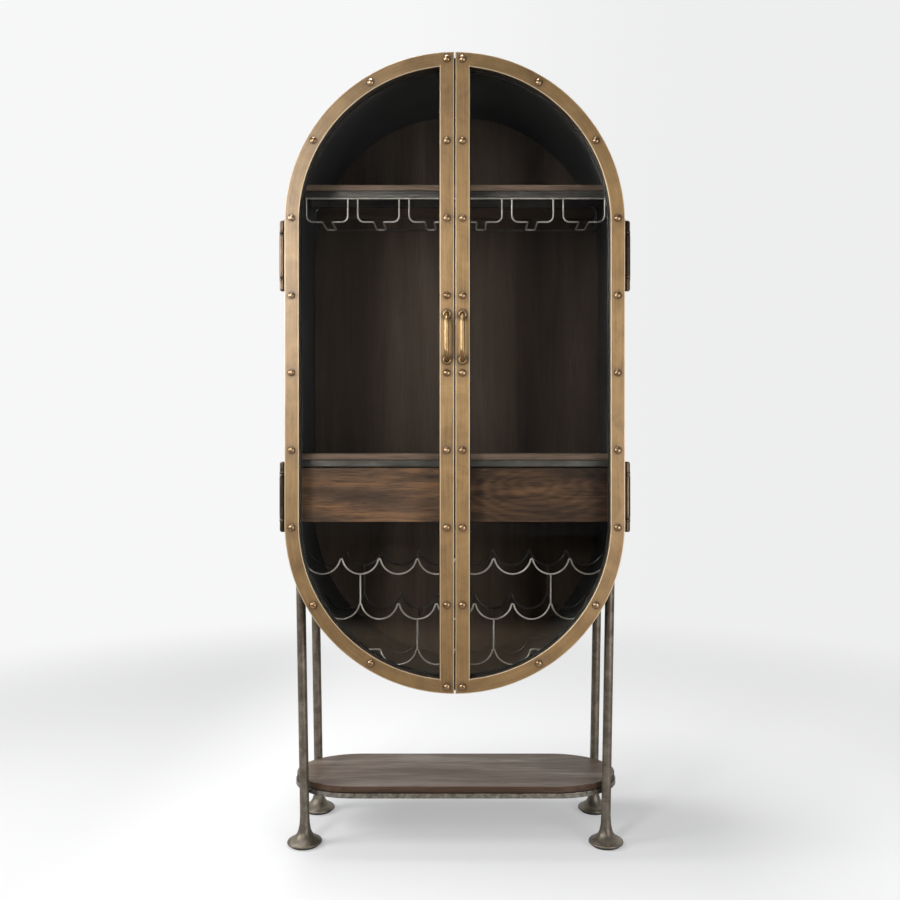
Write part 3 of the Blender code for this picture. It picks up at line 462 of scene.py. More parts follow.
# Darker copy of the lower shelf's wood for its edge and underside: painted shade
LOW_EDGE_SHADED_WOOD = wood(
    "lower_shelf_edge_wood_painted_shade", (0.030, 0.017, 0.010), (0.070, 0.040, 0.025), (0.120, 0.076, 0.050),
    grain_axis=0, figure=0.9, shine=0.45, pores=0.4,
)
GLASS = pane_glass("door_pane_glass")


# Mesh tools

def make_piece(name, shape, material, cad_node, stands_in=True, sharp_angle=38.0):
    """Turns a bmesh into a piece in the place of a node of the frame, or one that only goes with it."""
    mesh = bpy.data.meshes.new(name)
    bmesh.ops.recalc_face_normals(shape, faces=shape.faces)
    shape.to_mesh(mesh)
    shape.free()
    mesh.shade_smooth()
    mesh.set_sharp_from_angle(angle=math.radians(sharp_angle))
    mesh.materials.append(material)
    made = bpy.data.objects.new(name, mesh)
    SCENE.collection.objects.link(made)
    even = made.modifiers.new("even_faces", "WEIGHTED_NORMAL")
    even.keep_sharp = True
    if stands_in:
        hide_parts(cad_node)
    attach(made, BODY_OF[cad_node])
    return made


def ring_faces(shape, first, second, closed=True):
    """Quads between two rows of vertices of the same length."""
    count = len(first)
    for index in range(count if closed else count - 1):
        after = (index + 1) % count
        shape.faces.new((first[index], first[after], second[after], second[index]))


def loft(shape, rows, closed_loop=False, caps=False):
    """Skin over closed rows of points."""
    made = [[shape.verts.new(point) for point in row] for row in rows]
    for first, second in zip(made, made[1:]):
        ring_faces(shape, first, second)
    if closed_loop:
        ring_faces(shape, made[-1], made[0])
    if caps:
        shape.faces.new(made[0])
        shape.faces.new(made[-1])
    return made


def lathe(shape, profile, centre, sides=48, axis=None):
    """Solid of revolution from pairs of radius and height. A zero radius closes an end."""
    turn = axis.to_track_quat("Z", "Y").to_matrix() if axis else Matrix.Identity(3)
    centre = Vector(centre)
    rows = []
    ends = []
    for radius, height in profile:
        if radius <= 0.0:
            ends.append((len(rows), centre + turn @ Vector((0.0, 0.0, height))))
            continue
        row = []
        for step in range(sides):
            angle = math.tau * step / sides
            row.append(centre + turn @ Vector((radius * math.cos(angle), radius * math.sin(angle), height)))
        rows.append(row)
    made = loft(shape, rows)
    for position, point in ends:
        tip = shape.verts.new(point)
        row = made[0] if position == 0 else made[-1]
        for index in range(sides):
            shape.faces.new((row[index], row[(index + 1) % sides], tip))
    return made


def circle(centre, across, upwards, radius, sides):
    """Points round a centre, in the plane of two directions."""
    angles = [math.tau * step / sides for step in range(sides)]
    return [centre + radius * (across * math.cos(angle) + upwards * math.sin(angle)) for angle in angles]


DOME_LIP = 0.62
DOME_RISE = 0.22


def tube(shape, path, radius, sides=12, closed=False, domed=True):
    """Round tube along a path, with one radius or a list of them, and slightly domed or flat ends."""
    path = [Vector(point) for point in path]
    count = len(path)
    radii = radius if isinstance(radius, list) else [radius] * count
    tangents = []
    for index in range(count):
        before = path[index - 1] if index > 0 or closed else path[index]
        after = path[(index + 1) % count] if index < count - 1 or closed else path[index]
        tangents.append((after - before).normalized())
    side = tangents[0].orthogonal().normalized()
    rows = []
    for point, along, size in zip(path, tangents, radii):
        side = (side - along * side.dot(along)).normalized()
        rows.append(circle(point, side, along.cross(side), size, sides))
    made = loft(shape, rows)
    first = made[0]
    last = made[-1]
    if closed:
        offset = min(range(sides), key=lambda shift: (last[0].co - first[shift].co).length)
        ring_faces(shape, last, first[offset:] + first[:offset])
        return
    for row, point, outwards, size in (
        (first, path[0], -tangents[0], radii[0]),
        (last, path[-1], tangents[-1], radii[-1]),
    ):
        if domed:
            rise = outwards * size * DOME_RISE
            lip = [shape.verts.new(point + (vertex.co - point) * DOME_LIP + rise) for vertex in row]
            ring_faces(shape, row, lip)
            row = lip
        shape.faces.new(row)


def rounded_path(corners, radii, segments=8, closed=False):
    """Path through corners, each rounded to its own radius."""
    corners = [Vector(corner) for corner in corners]
    count = len(corners)
    path = []
    for index, corner in enumerate(corners):
        if not closed and index in (0, count - 1):
            path.append(corner)
            continue
        before = (corners[index - 1] - corner).normalized()
        after = (corners[(index + 1) % count] - corner).normalized()
        half_angle = before.angle(after) / 2
        reach = radii[index] / math.tan(half_angle)
        centre = corner + (before + after).normalized() * radii[index] / math.sin(half_angle)
        first = corner + before * reach - centre
        axis = first.cross(corner + after * reach - centre).normalized()
        turn = math.pi - 2 * half_angle
        for step in range(segments + 1):
            path.append(centre + Matrix.Rotation(turn * step / segments, 3, axis) @ first)
    return path


def ease_edges(shape, reach, segments):
    bmesh.ops.bevel(
        shape, geom=list(shape.edges), offset=reach, segments=segments, profile=0.6, affect="EDGES"
    )


def box_shape(low, high, edge, segments=3):
    """Box between two corners, with rounded edges."""
    shape = bmesh.new()
    bmesh.ops.create_cube(shape, size=1.0)
    bmesh.ops.scale(shape, vec=Vector(high) - Vector(low), verts=shape.verts)
    bmesh.ops.translate(shape, vec=(Vector(high) + Vector(low)) / 2, verts=shape.verts)
    if edge:
        ease_edges(shape, edge, segments)
    return shape


def y_of(cad_node):
    """Middle of a node from front to back."""
    low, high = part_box(cad_node)
    return (low.y + high.y) / 2


def fine_box(name, cad_node, edge, material):
    """Box in the place of a node, with its edges eased."""
    low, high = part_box(cad_node)
    make_piece(name, box_shape(low, high, edge), material, cad_node)


def swept(start, sweep, steps):
    """Angles in even steps from a start through a sweep."""
    return [start + sweep * step / steps for step in range(steps + 1)]


def stadium(radius):
    """Outline of the case in X and Z."""
    points = []
    for centre_z, start in ((UPPER_CENTRE_Z, 0.0), (LOWER_CENTRE_Z, math.pi)):
        for angle in swept(start, math.pi, 2 * ARC_STEPS):
            points.append((radius * math.cos(angle), centre_z + radius * math.sin(angle)))
    return points


def door_outline(side, inset):
    """Outline of one door in X and Z, drawn in by an inset."""
    radius = CASE_RADIUS - inset
    sweep = math.acos((MEETING_HALF_GAP + inset) / radius)
    points = []
    for centre_z, start in ((UPPER_CENTRE_Z, sweep), (LOWER_CENTRE_Z, 0.0)):
        for angle in swept(start, -sweep, ARC_STEPS):
            points.append((side * radius * math.cos(angle), centre_z + radius * math.sin(angle)))
    return points


def upright_shape(outline, profile, **ends):
    """Skin over a profile of insets and depths, carried round an outline in X and Z."""
    shape = bmesh.new()
    loft(shape, [[(x, at(depth), z) for x, z in outline(inset)] for inset, depth in profile], **ends)
    return shape


def banded(outline, profile):
    """Closed band round an outline."""
    return upright_shape(outline, profile, closed_loop=True)


def plate(outline, front, back, edge):
    """Flat plate with slightly eased edges."""
    profile = ((edge, front), (0.0, front + edge), (0.0, back - edge), (edge, back))
    return upright_shape(outline, profile, caps=True)


# Case

BOARD_EDGE = 0.0012
THIN_BOARD_EDGE = 0.0006
BAR_EDGE = 0.0009


def build_case():
    radius = CASE_RADIUS
    inner = SHELL_THICKNESS
    ease = 0.0005
    lip = SHELL_FLANGE
    front = CASE_FRONT_DEPTH
    back = CASE_BACK_DEPTH
    profile = (
        (ease, front), (0.0, front + ease), (0.0, back - 2 * ease), (ease, back), (lip, back),
        (lip, back - inner), (inner, back - inner), (inner, front),
    )
    shell = banded(lambda inset: stadium(radius - inset), profile)
    make_piece("case_shell_skin", shell, CASE_STEEL, "case_shell")
    low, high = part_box("back_panel")
    back_radius = (high.x - low.x) / 2
    front = low.y - DOOR_FACE_Y
    back = high.y - DOOR_FACE_Y
    panel = plate(lambda inset: stadium(back_radius - inset), front, back, THIN_BOARD_EDGE)
    make_piece("back_panel_board", panel, BACK_WOOD, "back_panel")


REVEAL_HEIGHT = 0.0022
REVEAL_DEPTH = 0.0024
GROOVE_HEIGHT = 0.0016
GROOVE_DEPTH = 0.0010


def reveal_bar(name, groove_share):
    """Steel bar along a shelf's front, set back along its top. A share of its height places a groove."""
    low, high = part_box(name)
    ease = 0.0006
    section = [(high.y, low.z), (low.y + ease, low.z), (low.y, low.z + ease)]
    if groove_share:
        groove_z = low.z + (high.z - low.z) * groove_share
        section += [
            (low.y, groove_z), (low.y + GROOVE_DEPTH, groove_z + ease / 2),
            (low.y + GROOVE_DEPTH, groove_z + GROOVE_HEIGHT - ease / 2), (low.y, groove_z + GROOVE_HEIGHT),
        ]
    shoulder = high.z - REVEAL_HEIGHT
    section += [
        (low.y, shoulder - ease), (low.y + ease, shoulder), (low.y + REVEAL_DEPTH, shoulder),
        (low.y + REVEAL_DEPTH, high.z), (high.y, high.z),
    ]
    shape = bmesh.new()
    loft(shape, [[(x, y, z) for y, z in section] for x in (low.x, high.x)], caps=True)
    make_piece(name + "_eased", shape, BAR_STEEL, name, sharp_angle=50.0)


def build_interior():
    for name in ("upper_shelf_board", "middle_shelf_board"):
        fine_box(name + "_eased", name, BOARD_EDGE, SHELF_WOOD)
    fine_box("upper_shelf_rear_bar_eased", "upper_shelf_rear_bar", BAR_EDGE, BAR_STEEL)
    reveal_bar("upper_shelf_front_bar", 0.45)
    reveal_bar("middle_shelf_front_bar", 0.0)
    packings = [f"drawer_side_packing_{word}" for word, _ in SIDES]
    for name in ("drawer_bay_floor", "drawer_divider", *packings):
        fine_box(name + "_eased", name, THIN_BOARD_EDGE, SHELF_WOOD)
    fine_box("magnetic_catch_block", "magnetic_catch", BOARD_EDGE, CASE_STEEL)


DRAWER_WALL = 0.010
DRAWER_BOTTOM = 0.006


def build_drawer(word):
    front = f"drawer_front_{word}"
    fine_box(front + "_board", front, BOARD_EDGE, DRAWER_WOODS[word])
    box = f"drawer_box_{word}"
    low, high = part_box(box)
    inset = Vector((DRAWER_WALL, DRAWER_WALL, 0.0))
    levels = (
        (low, high, low.z), (low, high, high.z),
        (low + inset, high - inset, high.z), (low + inset, high - inset, low.z + DRAWER_BOTTOM),
    )
    shape = bmesh.new()
    rows = [
        [(near.x, near.y, z), (far.x, near.y, z), (far.x, far.y, z), (near.x, far.y, z)]
        for near, far, z in levels
    ]
    loft(shape, rows, caps=True)
    ease_edges(shape, THIN_BOARD_EDGE, 2)
    make_piece(box + "_joinery", shape, BOX_WOOD, box)


# Doors

RIVET_RADIUS = 0.0085
RIVET_HEIGHT = 0.0058
RIVET_PITCH = 0.191
RIVET_END_OFFSET = 0.775
RIVET_ARC_ANGLES = (30.0, 59.0)
DOME_STEPS = 8
DOME_FULLNESS = 0.85


def rivet_places(side):
    """X and Z of each rivet of one door."""
    band_radius = CASE_RADIUS - FRAME_WIDTH / 2
    steps = (-2, -1, 0, 1, 2)
    places = [(side * STILE_X, CASE_MIDDLE_Z + step * RIVET_PITCH) for step in (-3, *steps, 3)]
    places += [(side * STILE_X, CASE_MIDDLE_Z + end * RIVET_END_OFFSET) for end in (-1, 1)]
    for step in steps:
        z = CASE_MIDDLE_Z + step * RIVET_PITCH
        rise = max(z - UPPER_CENTRE_Z, LOWER_CENTRE_Z - z, 0.0)
        places.append((side * math.sqrt(band_radius ** 2 - rise ** 2), z))
    for degrees in RIVET_ARC_ANGLES:
        angle = math.radians(degrees)
        x = side * band_radius * math.cos(angle)
        places.append((x, UPPER_CENTRE_Z + band_radius * math.sin(angle)))
        places.append((x, LOWER_CENTRE_Z - band_radius * math.sin(angle)))
    return places


def build_rivets(word, side):
    dome = [(RIVET_RADIUS, 0.0001)]
    for step in range(1, DOME_STEPS):
        angle = math.radians(90.0 * step / DOME_STEPS)
        dome.append((RIVET_RADIUS * math.cos(angle) ** DOME_FULLNESS, RIVET_HEIGHT * math.sin(angle)))
    dome.append((0.0, RIVET_HEIGHT))
    shape = bmesh.new()
    for x, z in rivet_places(side):
        lathe(shape, dome, (x, at(0.0), z), 24, FORWARD)
    frame_name = f"door_frame_{word}"
    make_piece(f"door_rivets_{word}", shape, RIVET_BRASS, frame_name, stands_in=False, sharp_angle=60.0)


def build_door_frame(word, side):
    ease = 0.0011
    mid = ease * 0.3
    inner = FRAME_WIDTH
    profile = (
        (0.0, FRAME_DEPTH), (0.0, ease), (mid, mid), (ease, 0.0),
        (inner - ease, 0.0), (inner - mid, mid), (inner, ease), (inner, FRAME_DEPTH),
        (inner - FRAME_FLANGE, FRAME_DEPTH), (inner - FRAME_FLANGE, FRAME_FACE),
        (FRAME_FLANGE, FRAME_FACE), (FRAME_FLANGE, FRAME_DEPTH),
    )
    shape = banded(lambda inset: door_outline(side, inset), profile)
    name = f"door_frame_{word}"
    make_piece(name + "_channel", shape, BRASS, name)


RETAINER_INSET = 0.003
RETAINER_WIDTH = 0.0375
RETAINER_BACK_DEPTH = 0.0340
RETAINER_EASE = 0.0005
PANE_EDGE = 0.0004


def build_glazing(word, side):
    """Pane of one door, and the ring that holds it in from behind."""
    front = GLASS_FRONT_DEPTH
    lip = GLASS_INSET - GAP
    seat = GLASS_BACK_DEPTH + GAP
    profile = (
        (RETAINER_INSET, front), (lip, front), (lip, seat),
        (RETAINER_WIDTH - RETAINER_EASE, seat), (RETAINER_WIDTH, seat + RETAINER_EASE),
        (RETAINER_WIDTH, RETAINER_BACK_DEPTH), (RETAINER_INSET, RETAINER_BACK_DEPTH),
    )
    shape = banded(lambda inset: door_outline(side, inset), profile)
    retainer = f"glass_retainer_{word}"
    make_piece(retainer + "_ring", shape, BAR_STEEL, retainer)
    shape = plate(lambda inset: door_outline(side, GLASS_INSET + inset), front, GLASS_BACK_DEPTH, PANE_EDGE)
    glass = f"door_glass_{word}"
    make_piece(glass + "_pane", shape, GLASS, glass)


HANDLE_Z = 1.300
HANDLE_HALF_SPACING = 0.05675
HANDLE_STANDOFF = 0.031
HANDLE_GRIP = 0.00625
HANDLE_NECK = 0.0042
HANDLE_TAPER = 0.06
HANDLE_SHOULDER = 0.014
HANDLE_BEND = 0.018
EYE_RADIUS = 0.0103
EYE_THICKNESS = 0.005
# Share of the eye's radius, and height
EYE_PROFILE = (
    (0.0, 0.0), (0.94, 0.0), (1.0, 0.0008), (1.0, 0.0028), (0.94, 0.0042), (0.80, EYE_THICKNESS),
    (0.64, EYE_THICKNESS), (0.50, 0.0042), (0.42, 0.0022), (0.0, 0.0018),
)


def build_handle(word, side):
    x = side * STILE_X
    shape = bmesh.new()
    grip_y = at(-GAP - HANDLE_STANDOFF)
    shoulder = HANDLE_HALF_SPACING - HANDLE_SHOULDER
    start_y = at(-GAP - EYE_THICKNESS * 0.5)
    corners = [
        (x, start_y, HANDLE_Z - HANDLE_HALF_SPACING), (x, grip_y, HANDLE_Z - shoulder),
        (x, grip_y, HANDLE_Z + shoulder), (x, start_y, HANDLE_Z + HANDLE_HALF_SPACING),
    ]
    path = rounded_path(corners, [HANDLE_BEND] * 4, segments=14)
    radii = []
    for point in path:
        reach = (at(-GAP) - point.y) / HANDLE_STANDOFF
        swell = 1.0 - HANDLE_TAPER * abs(point.z - HANDLE_Z) / HANDLE_HALF_SPACING
        radii.append((HANDLE_NECK + (HANDLE_GRIP - HANDLE_NECK) * reach) * swell)
    tube(shape, path, radii, 28)
    eye = [(EYE_RADIUS * share, height) for share, height in EYE_PROFILE]
    for end in (-1, 1):
        lathe(shape, eye, (x, at(-GAP), HANDLE_Z + end * HANDLE_HALF_SPACING), 32, FORWARD)
    name = f"door_handle_{word}"
    make_piece(name + "_bow", shape, HANDLE_BRASS, name, sharp_angle=50.0)


# Hinges

LEAF_THICKNESS = 0.002
LEAF_CLEARANCE = 0.0005
LEAF_EDGE = 0.0005
TONGUE_LAP = 0.0004
KNUCKLE_RADIUS = 0.0088
KNUCKLE_BORE = 0.0034
SLIM_RADIUS = KNUCKLE_RADIUS * 0.90
END_KNUCKLE = 0.030
RING_HEIGHT = 0.0072
PIN_RADIUS = 0.003
PIN_HEAD_RADIUS = 0.0064
PIN_HEAD_HEIGHT = 0.0024


def long_knuckle(low, high):
    """Radius and height along the door leaf's knuckle, with a groove near each end."""
    full = KNUCKLE_RADIUS
    end = (
        (KNUCKLE_BORE, 0.0), (full - 0.0008, 0.0), (full, 0.0010), (full, 0.0034),
        (full - 0.0010, 0.0040), (full - 0.0010, 0.0052), (full, 0.0058),
    )
    profile = [(radius, low + reach) for radius, reach in end]
    return profile + [(radius, high - reach) for radius, reach in reversed(end)]


def end_knuckle(low, high, upper):
    """Radius and height along a case leaf's knuckle, with a ring where it meets the long one."""
    full = KNUCKLE_RADIUS
    slim = SLIM_RADIUS
    ring_low, ring_high = (low, low + RING_HEIGHT) if upper else (high - RING_HEIGHT, high)
    ring = [
        (slim, ring_low + 0.0004), (full - 0.0003, ring_low + 0.0012), (full, ring_low + 0.0028),
        (full, ring_high - 0.0028), (full - 0.0003, ring_high - 0.0012), (slim, ring_high - 0.0004),
    ]
    first = (KNUCKLE_BORE, low)
    last = (KNUCKLE_BORE, high)
    if upper:
        return [first, *ring, (slim, high - 0.0012), (slim - 0.0010, high), last]
    return [first, (slim - 0.0010, low), (slim, low + 0.0012), *ring, last]


def build_leaf(stem, leaf, side, pin):
    """Fine leaf with its knuckles, in the place of one node."""
    name = f"{stem}_{leaf}"
    low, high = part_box(name)
    on_door = leaf == "door_leaf"
    near_x, far_x = sorted(side * (CASE_RADIUS + GAP + reach) for reach in (0.0, LEAF_THICKNESS))
    gap = KNUCKLE_RADIUS + LEAF_CLEARANCE
    if on_door:
        leaf_y = (low.y, pin.y - gap)
        tongue_y = (pin.y - gap, pin.y)
        spans = [(low.z + END_KNUCKLE + LEAF_CLEARANCE, high.z - END_KNUCKLE - LEAF_CLEARANCE)]
    else:
        leaf_y = (pin.y + gap, high.y)
        tongue_y = (pin.y, pin.y + gap)
        spans = [(low.z, low.z + END_KNUCKLE), (high.z - END_KNUCKLE, high.z)]
    parts = [box_shape((near_x, leaf_y[0], low.z), (far_x, leaf_y[1], high.z), LEAF_EDGE, 2)]
    for foot, top in spans:
        corner_low = (near_x, tongue_y[0] - TONGUE_LAP, foot + TONGUE_LAP)
        corner_high = (far_x, tongue_y[1] + TONGUE_LAP, top - TONGUE_LAP)
        parts.append(box_shape(corner_low, corner_high, 0.0))
    shape = bmesh.new()
    for part in parts:
        mesh = bpy.data.meshes.new("leaf_part")
        part.to_mesh(mesh)
        part.free()
        shape.from_mesh(mesh)
        bpy.data.meshes.remove(mesh)
    for foot, top in spans:
        profile = long_knuckle(foot, top) if on_door else end_knuckle(foot, top, top > pin.z)
        rows = lathe(shape, profile, (pin.x, pin.y, 0.0), 28)
        ring_faces(shape, rows[-1], rows[0])
    make_piece(name + "_fine", shape, HINGE_BRONZE, name, sharp_angle=45.0)


def build_hinge(word, side, mark):
    """Fine leaves, ringed knuckles and pin in the place of one hinge's nodes."""
    stem = f"hinge_{mark}_{word}"
    low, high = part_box(f"{stem}_pin")
    pin = (low + high) / 2
    for leaf in ("door_leaf", "case_leaf"):
        build_leaf(stem, leaf, side, pin)
    head = PIN_HEAD_RADIUS
    inner_high = high.z - PIN_HEAD_HEIGHT
    inner_low = low.z + PIN_HEAD_HEIGHT
    profile = (
        (0.0, high.z), (head * 0.7, high.z - 0.0002), (head * 0.95, high.z - 0.0010), (head, inner_high),
        (PIN_RADIUS, inner_high), (PIN_RADIUS, inner_low),
        (head, inner_low), (head * 0.95, low.z + 0.0010), (head * 0.7, low.z + 0.0002), (0.0, low.z),
    )
    shape = bmesh.new()
    lathe(shape, profile, (pin.x, pin.y, 0.0), 24)
    make_piece(f"{stem}_pin_fine", shape, HINGE_BRONZE, f"{stem}_pin")


# Wire racks

RACK_WIRE = 0.00225


def wire_piece(name, shape, steel=None, **settings):
    """Piece of bent wire in the place of a node."""
    make_piece(name + "_wire", shape, steel or WIRE_STEEL, name, **settings)


STEM_CHANNELS = 6
STEM_PITCH = 0.1350
STEM_DROP = 0.062
STEM_HALF_WIDTH = 0.05435
STEM_HALF_SLOT = 0.0125
STEM_CORNER = 0.017
STEM_HOOK = 0.007


def build_stemware_rack():
    rod_low, rod_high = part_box("stemware_front_rod")
    rod_z = (rod_low.z + rod_high.z) / 2
    front_y = (rod_low.y + rod_high.y) / 2
    shape = bmesh.new()
    tube(shape, [(rod_low.x, front_y, rod_z), (rod_high.x, front_y, rod_z)], RACK_WIRE, 16)
    wire_piece("stemware_front_rod", shape)

    low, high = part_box("stemware_rear_loop")
    loop_y = (low.y + high.y) / 2
    half = (high.x - low.x) / 2 - RACK_WIRE
    low_z = rod_z - STEM_DROP
    corners = [(-half, loop_y, rod_z), (-half, loop_y, low_z), (half, loop_y, low_z), (half, loop_y, rod_z)]
    shape = bmesh.new()
    tube(shape, rounded_path(corners, [STEM_CORNER] * 4, closed=True), RACK_WIRE, closed=True)
    # The rear loop takes the darker steel: painted shade
    wire_piece("stemware_rear_loop", shape, REAR_WIRE_SHADED_STEEL)

    rail_top = rod_z - RACK_WIRE - GAP
    cross_y = loop_y - 2 * RACK_WIRE - GAP
    radii = [0.0, STEM_CORNER, STEM_HOOK, STEM_HOOK]
    for number in range(STEM_CHANNELS):
        centre = (number - (STEM_CHANNELS - 1) / 2) * STEM_PITCH
        left = [
            (centre - STEM_HALF_WIDTH, front_y, rail_top),
            (centre - STEM_HALF_WIDTH, front_y, low_z),
            (centre - STEM_HALF_SLOT, front_y, low_z),
            (centre - STEM_HALF_SLOT, cross_y, low_z),
        ]
        right = [(2 * centre - x, y, z) for x, y, z in reversed(left)]
        shape = bmesh.new()
        tube(shape, rounded_path(left + right, radii + radii[::-1]), RACK_WIRE, domed=False)
        wire_piece(f"stemware_rail_{number + 1}", shape)


WINE_PITCH = 0.100
WINE_RADIUS = 0.0483
WINE_TIP = 0.0030
WINE_REAR_RISE = 0.012
# Row, height of its cradles' lowest points, and number of cradles
WINE_ROWS = (("top", 0.6958, 8), ("middle", 0.5776, 7), ("bottom", 0.4586, 4))
WINE_REACH = WINE_RADIUS + WINE_TIP
WINE_SLOPE = math.asin(WINE_PITCH / 2 / WINE_REACH)
WINE_END_ANGLE = math.radians(45.0)
WINE_END_STEP = 0.0015
CRADLE_STEPS = 9
TIP_STEPS = 5
WALL_LIMIT = CASE_RADIUS - SHELL_THICKNESS - GAP


def cradle_point(valley_x, valley_z, angle, travel=0.0):
    """Point of a cradle at an angle from its lowest point, and a travel straight on from there."""
    x = valley_x + WINE_RADIUS * math.sin(angle) + travel * math.cos(angle)
    return x, valley_z + WINE_RADIUS * (1 - math.cos(angle)) + travel * math.sin(angle)


def wall_end(valley_x, valley_z):
    """Points of a row's last cradle, which runs out to the case's wall."""
    points = []
    for step in range(CRADLE_STEPS + 1):
        points.append(cradle_point(valley_x, valley_z, -WINE_SLOPE * (1 - step / CRADLE_STEPS)))
    travel = 0.0
    while math.hypot(points[-1][0], points[-1][1] - LOWER_CENTRE_Z) < WALL_LIMIT - RACK_WIRE:
        travel += WINE_END_STEP
        angle = min(travel / WINE_RADIUS, WINE_END_ANGLE)
        straight = max(travel - WINE_RADIUS * WINE_END_ANGLE, 0.0)
        points.append(cradle_point(valley_x, valley_z, angle, straight))
    return points[:-1]


def scallop_half(cradles, valley_z, flat_end):
    """Right half of one row of cradles in X and Z, and the height of its tips."""
    tip_z = valley_z + WINE_REACH * (1 - math.cos(WINE_SLOPE)) - WINE_TIP
    top_z = tip_z + WINE_TIP
    first = 0.0 if cradles % 2 else WINE_PITCH / 2
    points = [] if cradles % 2 else [(0.0, top_z)]
    count = (cradles + 1) // 2
    for number in range(count):
        valley_x = first + number * WINE_PITCH
        last = number == count - 1
        if last and not flat_end:
            points += wall_end(valley_x, valley_z)
            break
        start = 0.0 if valley_x == 0.0 else -WINE_SLOPE
        for angle in swept(start, WINE_SLOPE - start, 2 * CRADLE_STEPS):
            points.append(cradle_point(valley_x, valley_z, angle))
        tip_x = valley_x + WINE_PITCH / 2
        turn = WINE_SLOPE if last else 2 * WINE_SLOPE
        for step in range(1, TIP_STEPS + 1 if last else TIP_STEPS):
            angle = WINE_SLOPE - turn * step / TIP_STEPS
            points.append((tip_x - WINE_TIP * math.sin(angle), tip_z + WINE_TIP * math.cos(angle)))
        if last:
            drop = LOWER_CENTRE_Z - (top_z - RACK_WIRE)
            points.append((math.sqrt((WALL_LIMIT - GAP) ** 2 - drop ** 2), top_z))
    return points, top_z


def build_wine_rack():
    # The rear rack takes the darker steel: painted shade
    for word, rise, steel in (("front", 0.0, WIRE_STEEL), ("rear", WINE_REAR_RISE, REAR_WIRE_SHADED_STEEL)):
        y = y_of(f"wine_rack_{word}_top")
        above = None
        for row, valley, cradles in WINE_ROWS:
            half, peak = scallop_half(cradles, valley + rise, row == "bottom")
            mirrored = [(-x, z) for x, z in reversed(half) if x > 0.0]
            shape = bmesh.new()
            tube(shape, [(x, y, z) for x, z in mirrored + half], RACK_WIRE)
            if above is not None:
                strut_x = WINE_PITCH * (cradles - 2) / 2
                foot_z = peak - RACK_WIRE * 0.5
                top_z = above - RACK_WIRE - GAP
                for x in (-strut_x, strut_x):
                    tube(shape, [(x, y, foot_z), (x, y, top_z)], RACK_WIRE, domed=False)
            above = valley + rise
            wire_piece(f"wine_rack_{word}_{row}", shape, steel, sharp_angle=70.0)


# Stand

LEG_RADIUS = 0.012
LEG_SIDES = 40
LEG_TOP_X = 0.401
LEG_TOP_Z = LOWER_CENTRE_Z - math.sqrt(CASE_RADIUS ** 2 - LEG_TOP_X ** 2)
LEG_FOOT_X = 0.390
LEG_SOCKET = 0.004
FOOT_HEIGHT = 0.074
HALVINGS = 28
# Radius and height
FOOT_PROFILE = (
    (0.0, FOOT_HEIGHT), (LEG_RADIUS + 0.0003, FOOT_HEIGHT), (0.0125, 0.0690), (0.0130, 0.0600),
    (0.0139, 0.0510), (0.0154, 0.0425), (0.0178, 0.0345), (0.0214, 0.0280), (0.0262, 0.0228),
    (0.0318, 0.0188), (0.0364, 0.0164), (0.0390, 0.0152), (0.0397, 0.0142), (0.0404, 0.0134),
    (0.0430, 0.0124), (0.0444, 0.0106), (0.0448, 0.0086), (0.0442, 0.0066), (0.0424, 0.0050),
    (0.0404, 0.0042), (0.0398, 0.0034), (0.0378, 0.0026), (0.0, 0.0024),
)
PAD_PROFILE = (
    (0.0, 0.0023), (0.0366, 0.0023), (0.0372, 0.0015), (0.0369, 0.0004), (0.0360, 0.0), (0.0, 0.0),
)


def reach_to_case(base, along):
    """How far a line runs from a point before it meets the case's outside."""
    reach = 0.0
    limit = 1.0
    for _ in range(HALVINGS):
        middle = (reach + limit) / 2
        point = base + along * middle
        outside = math.hypot(point.x, point.z - LOWER_CENTRE_Z) > CASE_RADIUS + GAP
        if outside and point.z < LOWER_CENTRE_Z:
            reach = middle
        else:
            limit = middle
    return reach


def build_leg(word, side, end_word):
    """Tube cut to the case's round bottom, with its foot and pad."""
    name = f"leg_{end_word}_{word}"
    y = y_of(name)
    bottom = Vector((side * LEG_FOOT_X, y, FOOT_HEIGHT))
    along = (Vector((side * LEG_TOP_X, y, LEG_TOP_Z)) - bottom).normalized()
    back = Vector((0.0, 1.0, 0.0))
    bases = circle(bottom, back.cross(along), back, LEG_RADIUS, LEG_SIDES)
    start_row = [base - along * LEG_SOCKET for base in bases]
    top_row = [base + along * reach_to_case(base, along) for base in bases]
    shape = bmesh.new()
    loft(shape, [start_row, top_row], caps=True)
    make_piece(name + "_tube", shape, STAND_STEEL, name, sharp_angle=50.0)

    foot = f"foot_{end_word}_{word}"
    shape = bmesh.new()
    lathe(shape, FOOT_PROFILE, (side * LEG_FOOT_X, y, 0.0), 64)
    make_piece(foot + "_turned", shape, STAND_STEEL, foot, sharp_angle=60.0)
    shape = bmesh.new()
    lathe(shape, PAD_PROFILE, (side * LEG_FOOT_X, y, 0.0))
    make_piece(foot + "_pad", shape, RUBBER, foot, stands_in=False, sharp_angle=60.0)


STRAIGHT_HALF = 0.2635
OVAL_STEPS = 36
HOOP_SIDE_OVERHANG = 0.003
HOOP_WALL = 0.004
HOOP_FLANGE = 0.028
HOOP_FLANGE_THICKNESS = 0.003
LUG_RADIUS = 0.0060
LUG_WAIST = 0.0052


def low_outline(half_length, half_width, middle_y):
    """Outline of the lower shelf in X and Y: straight sides and elliptical ends."""
    points = []
    for side, start in ((1, -math.pi / 2), (-1, math.pi / 2)):
        for angle in swept(start, math.pi, OVAL_STEPS):
            x = side * STRAIGHT_HALF + (half_length - STRAIGHT_HALF) * math.cos(angle)
            points.append((x, middle_y + half_width * math.sin(angle)))
    return points


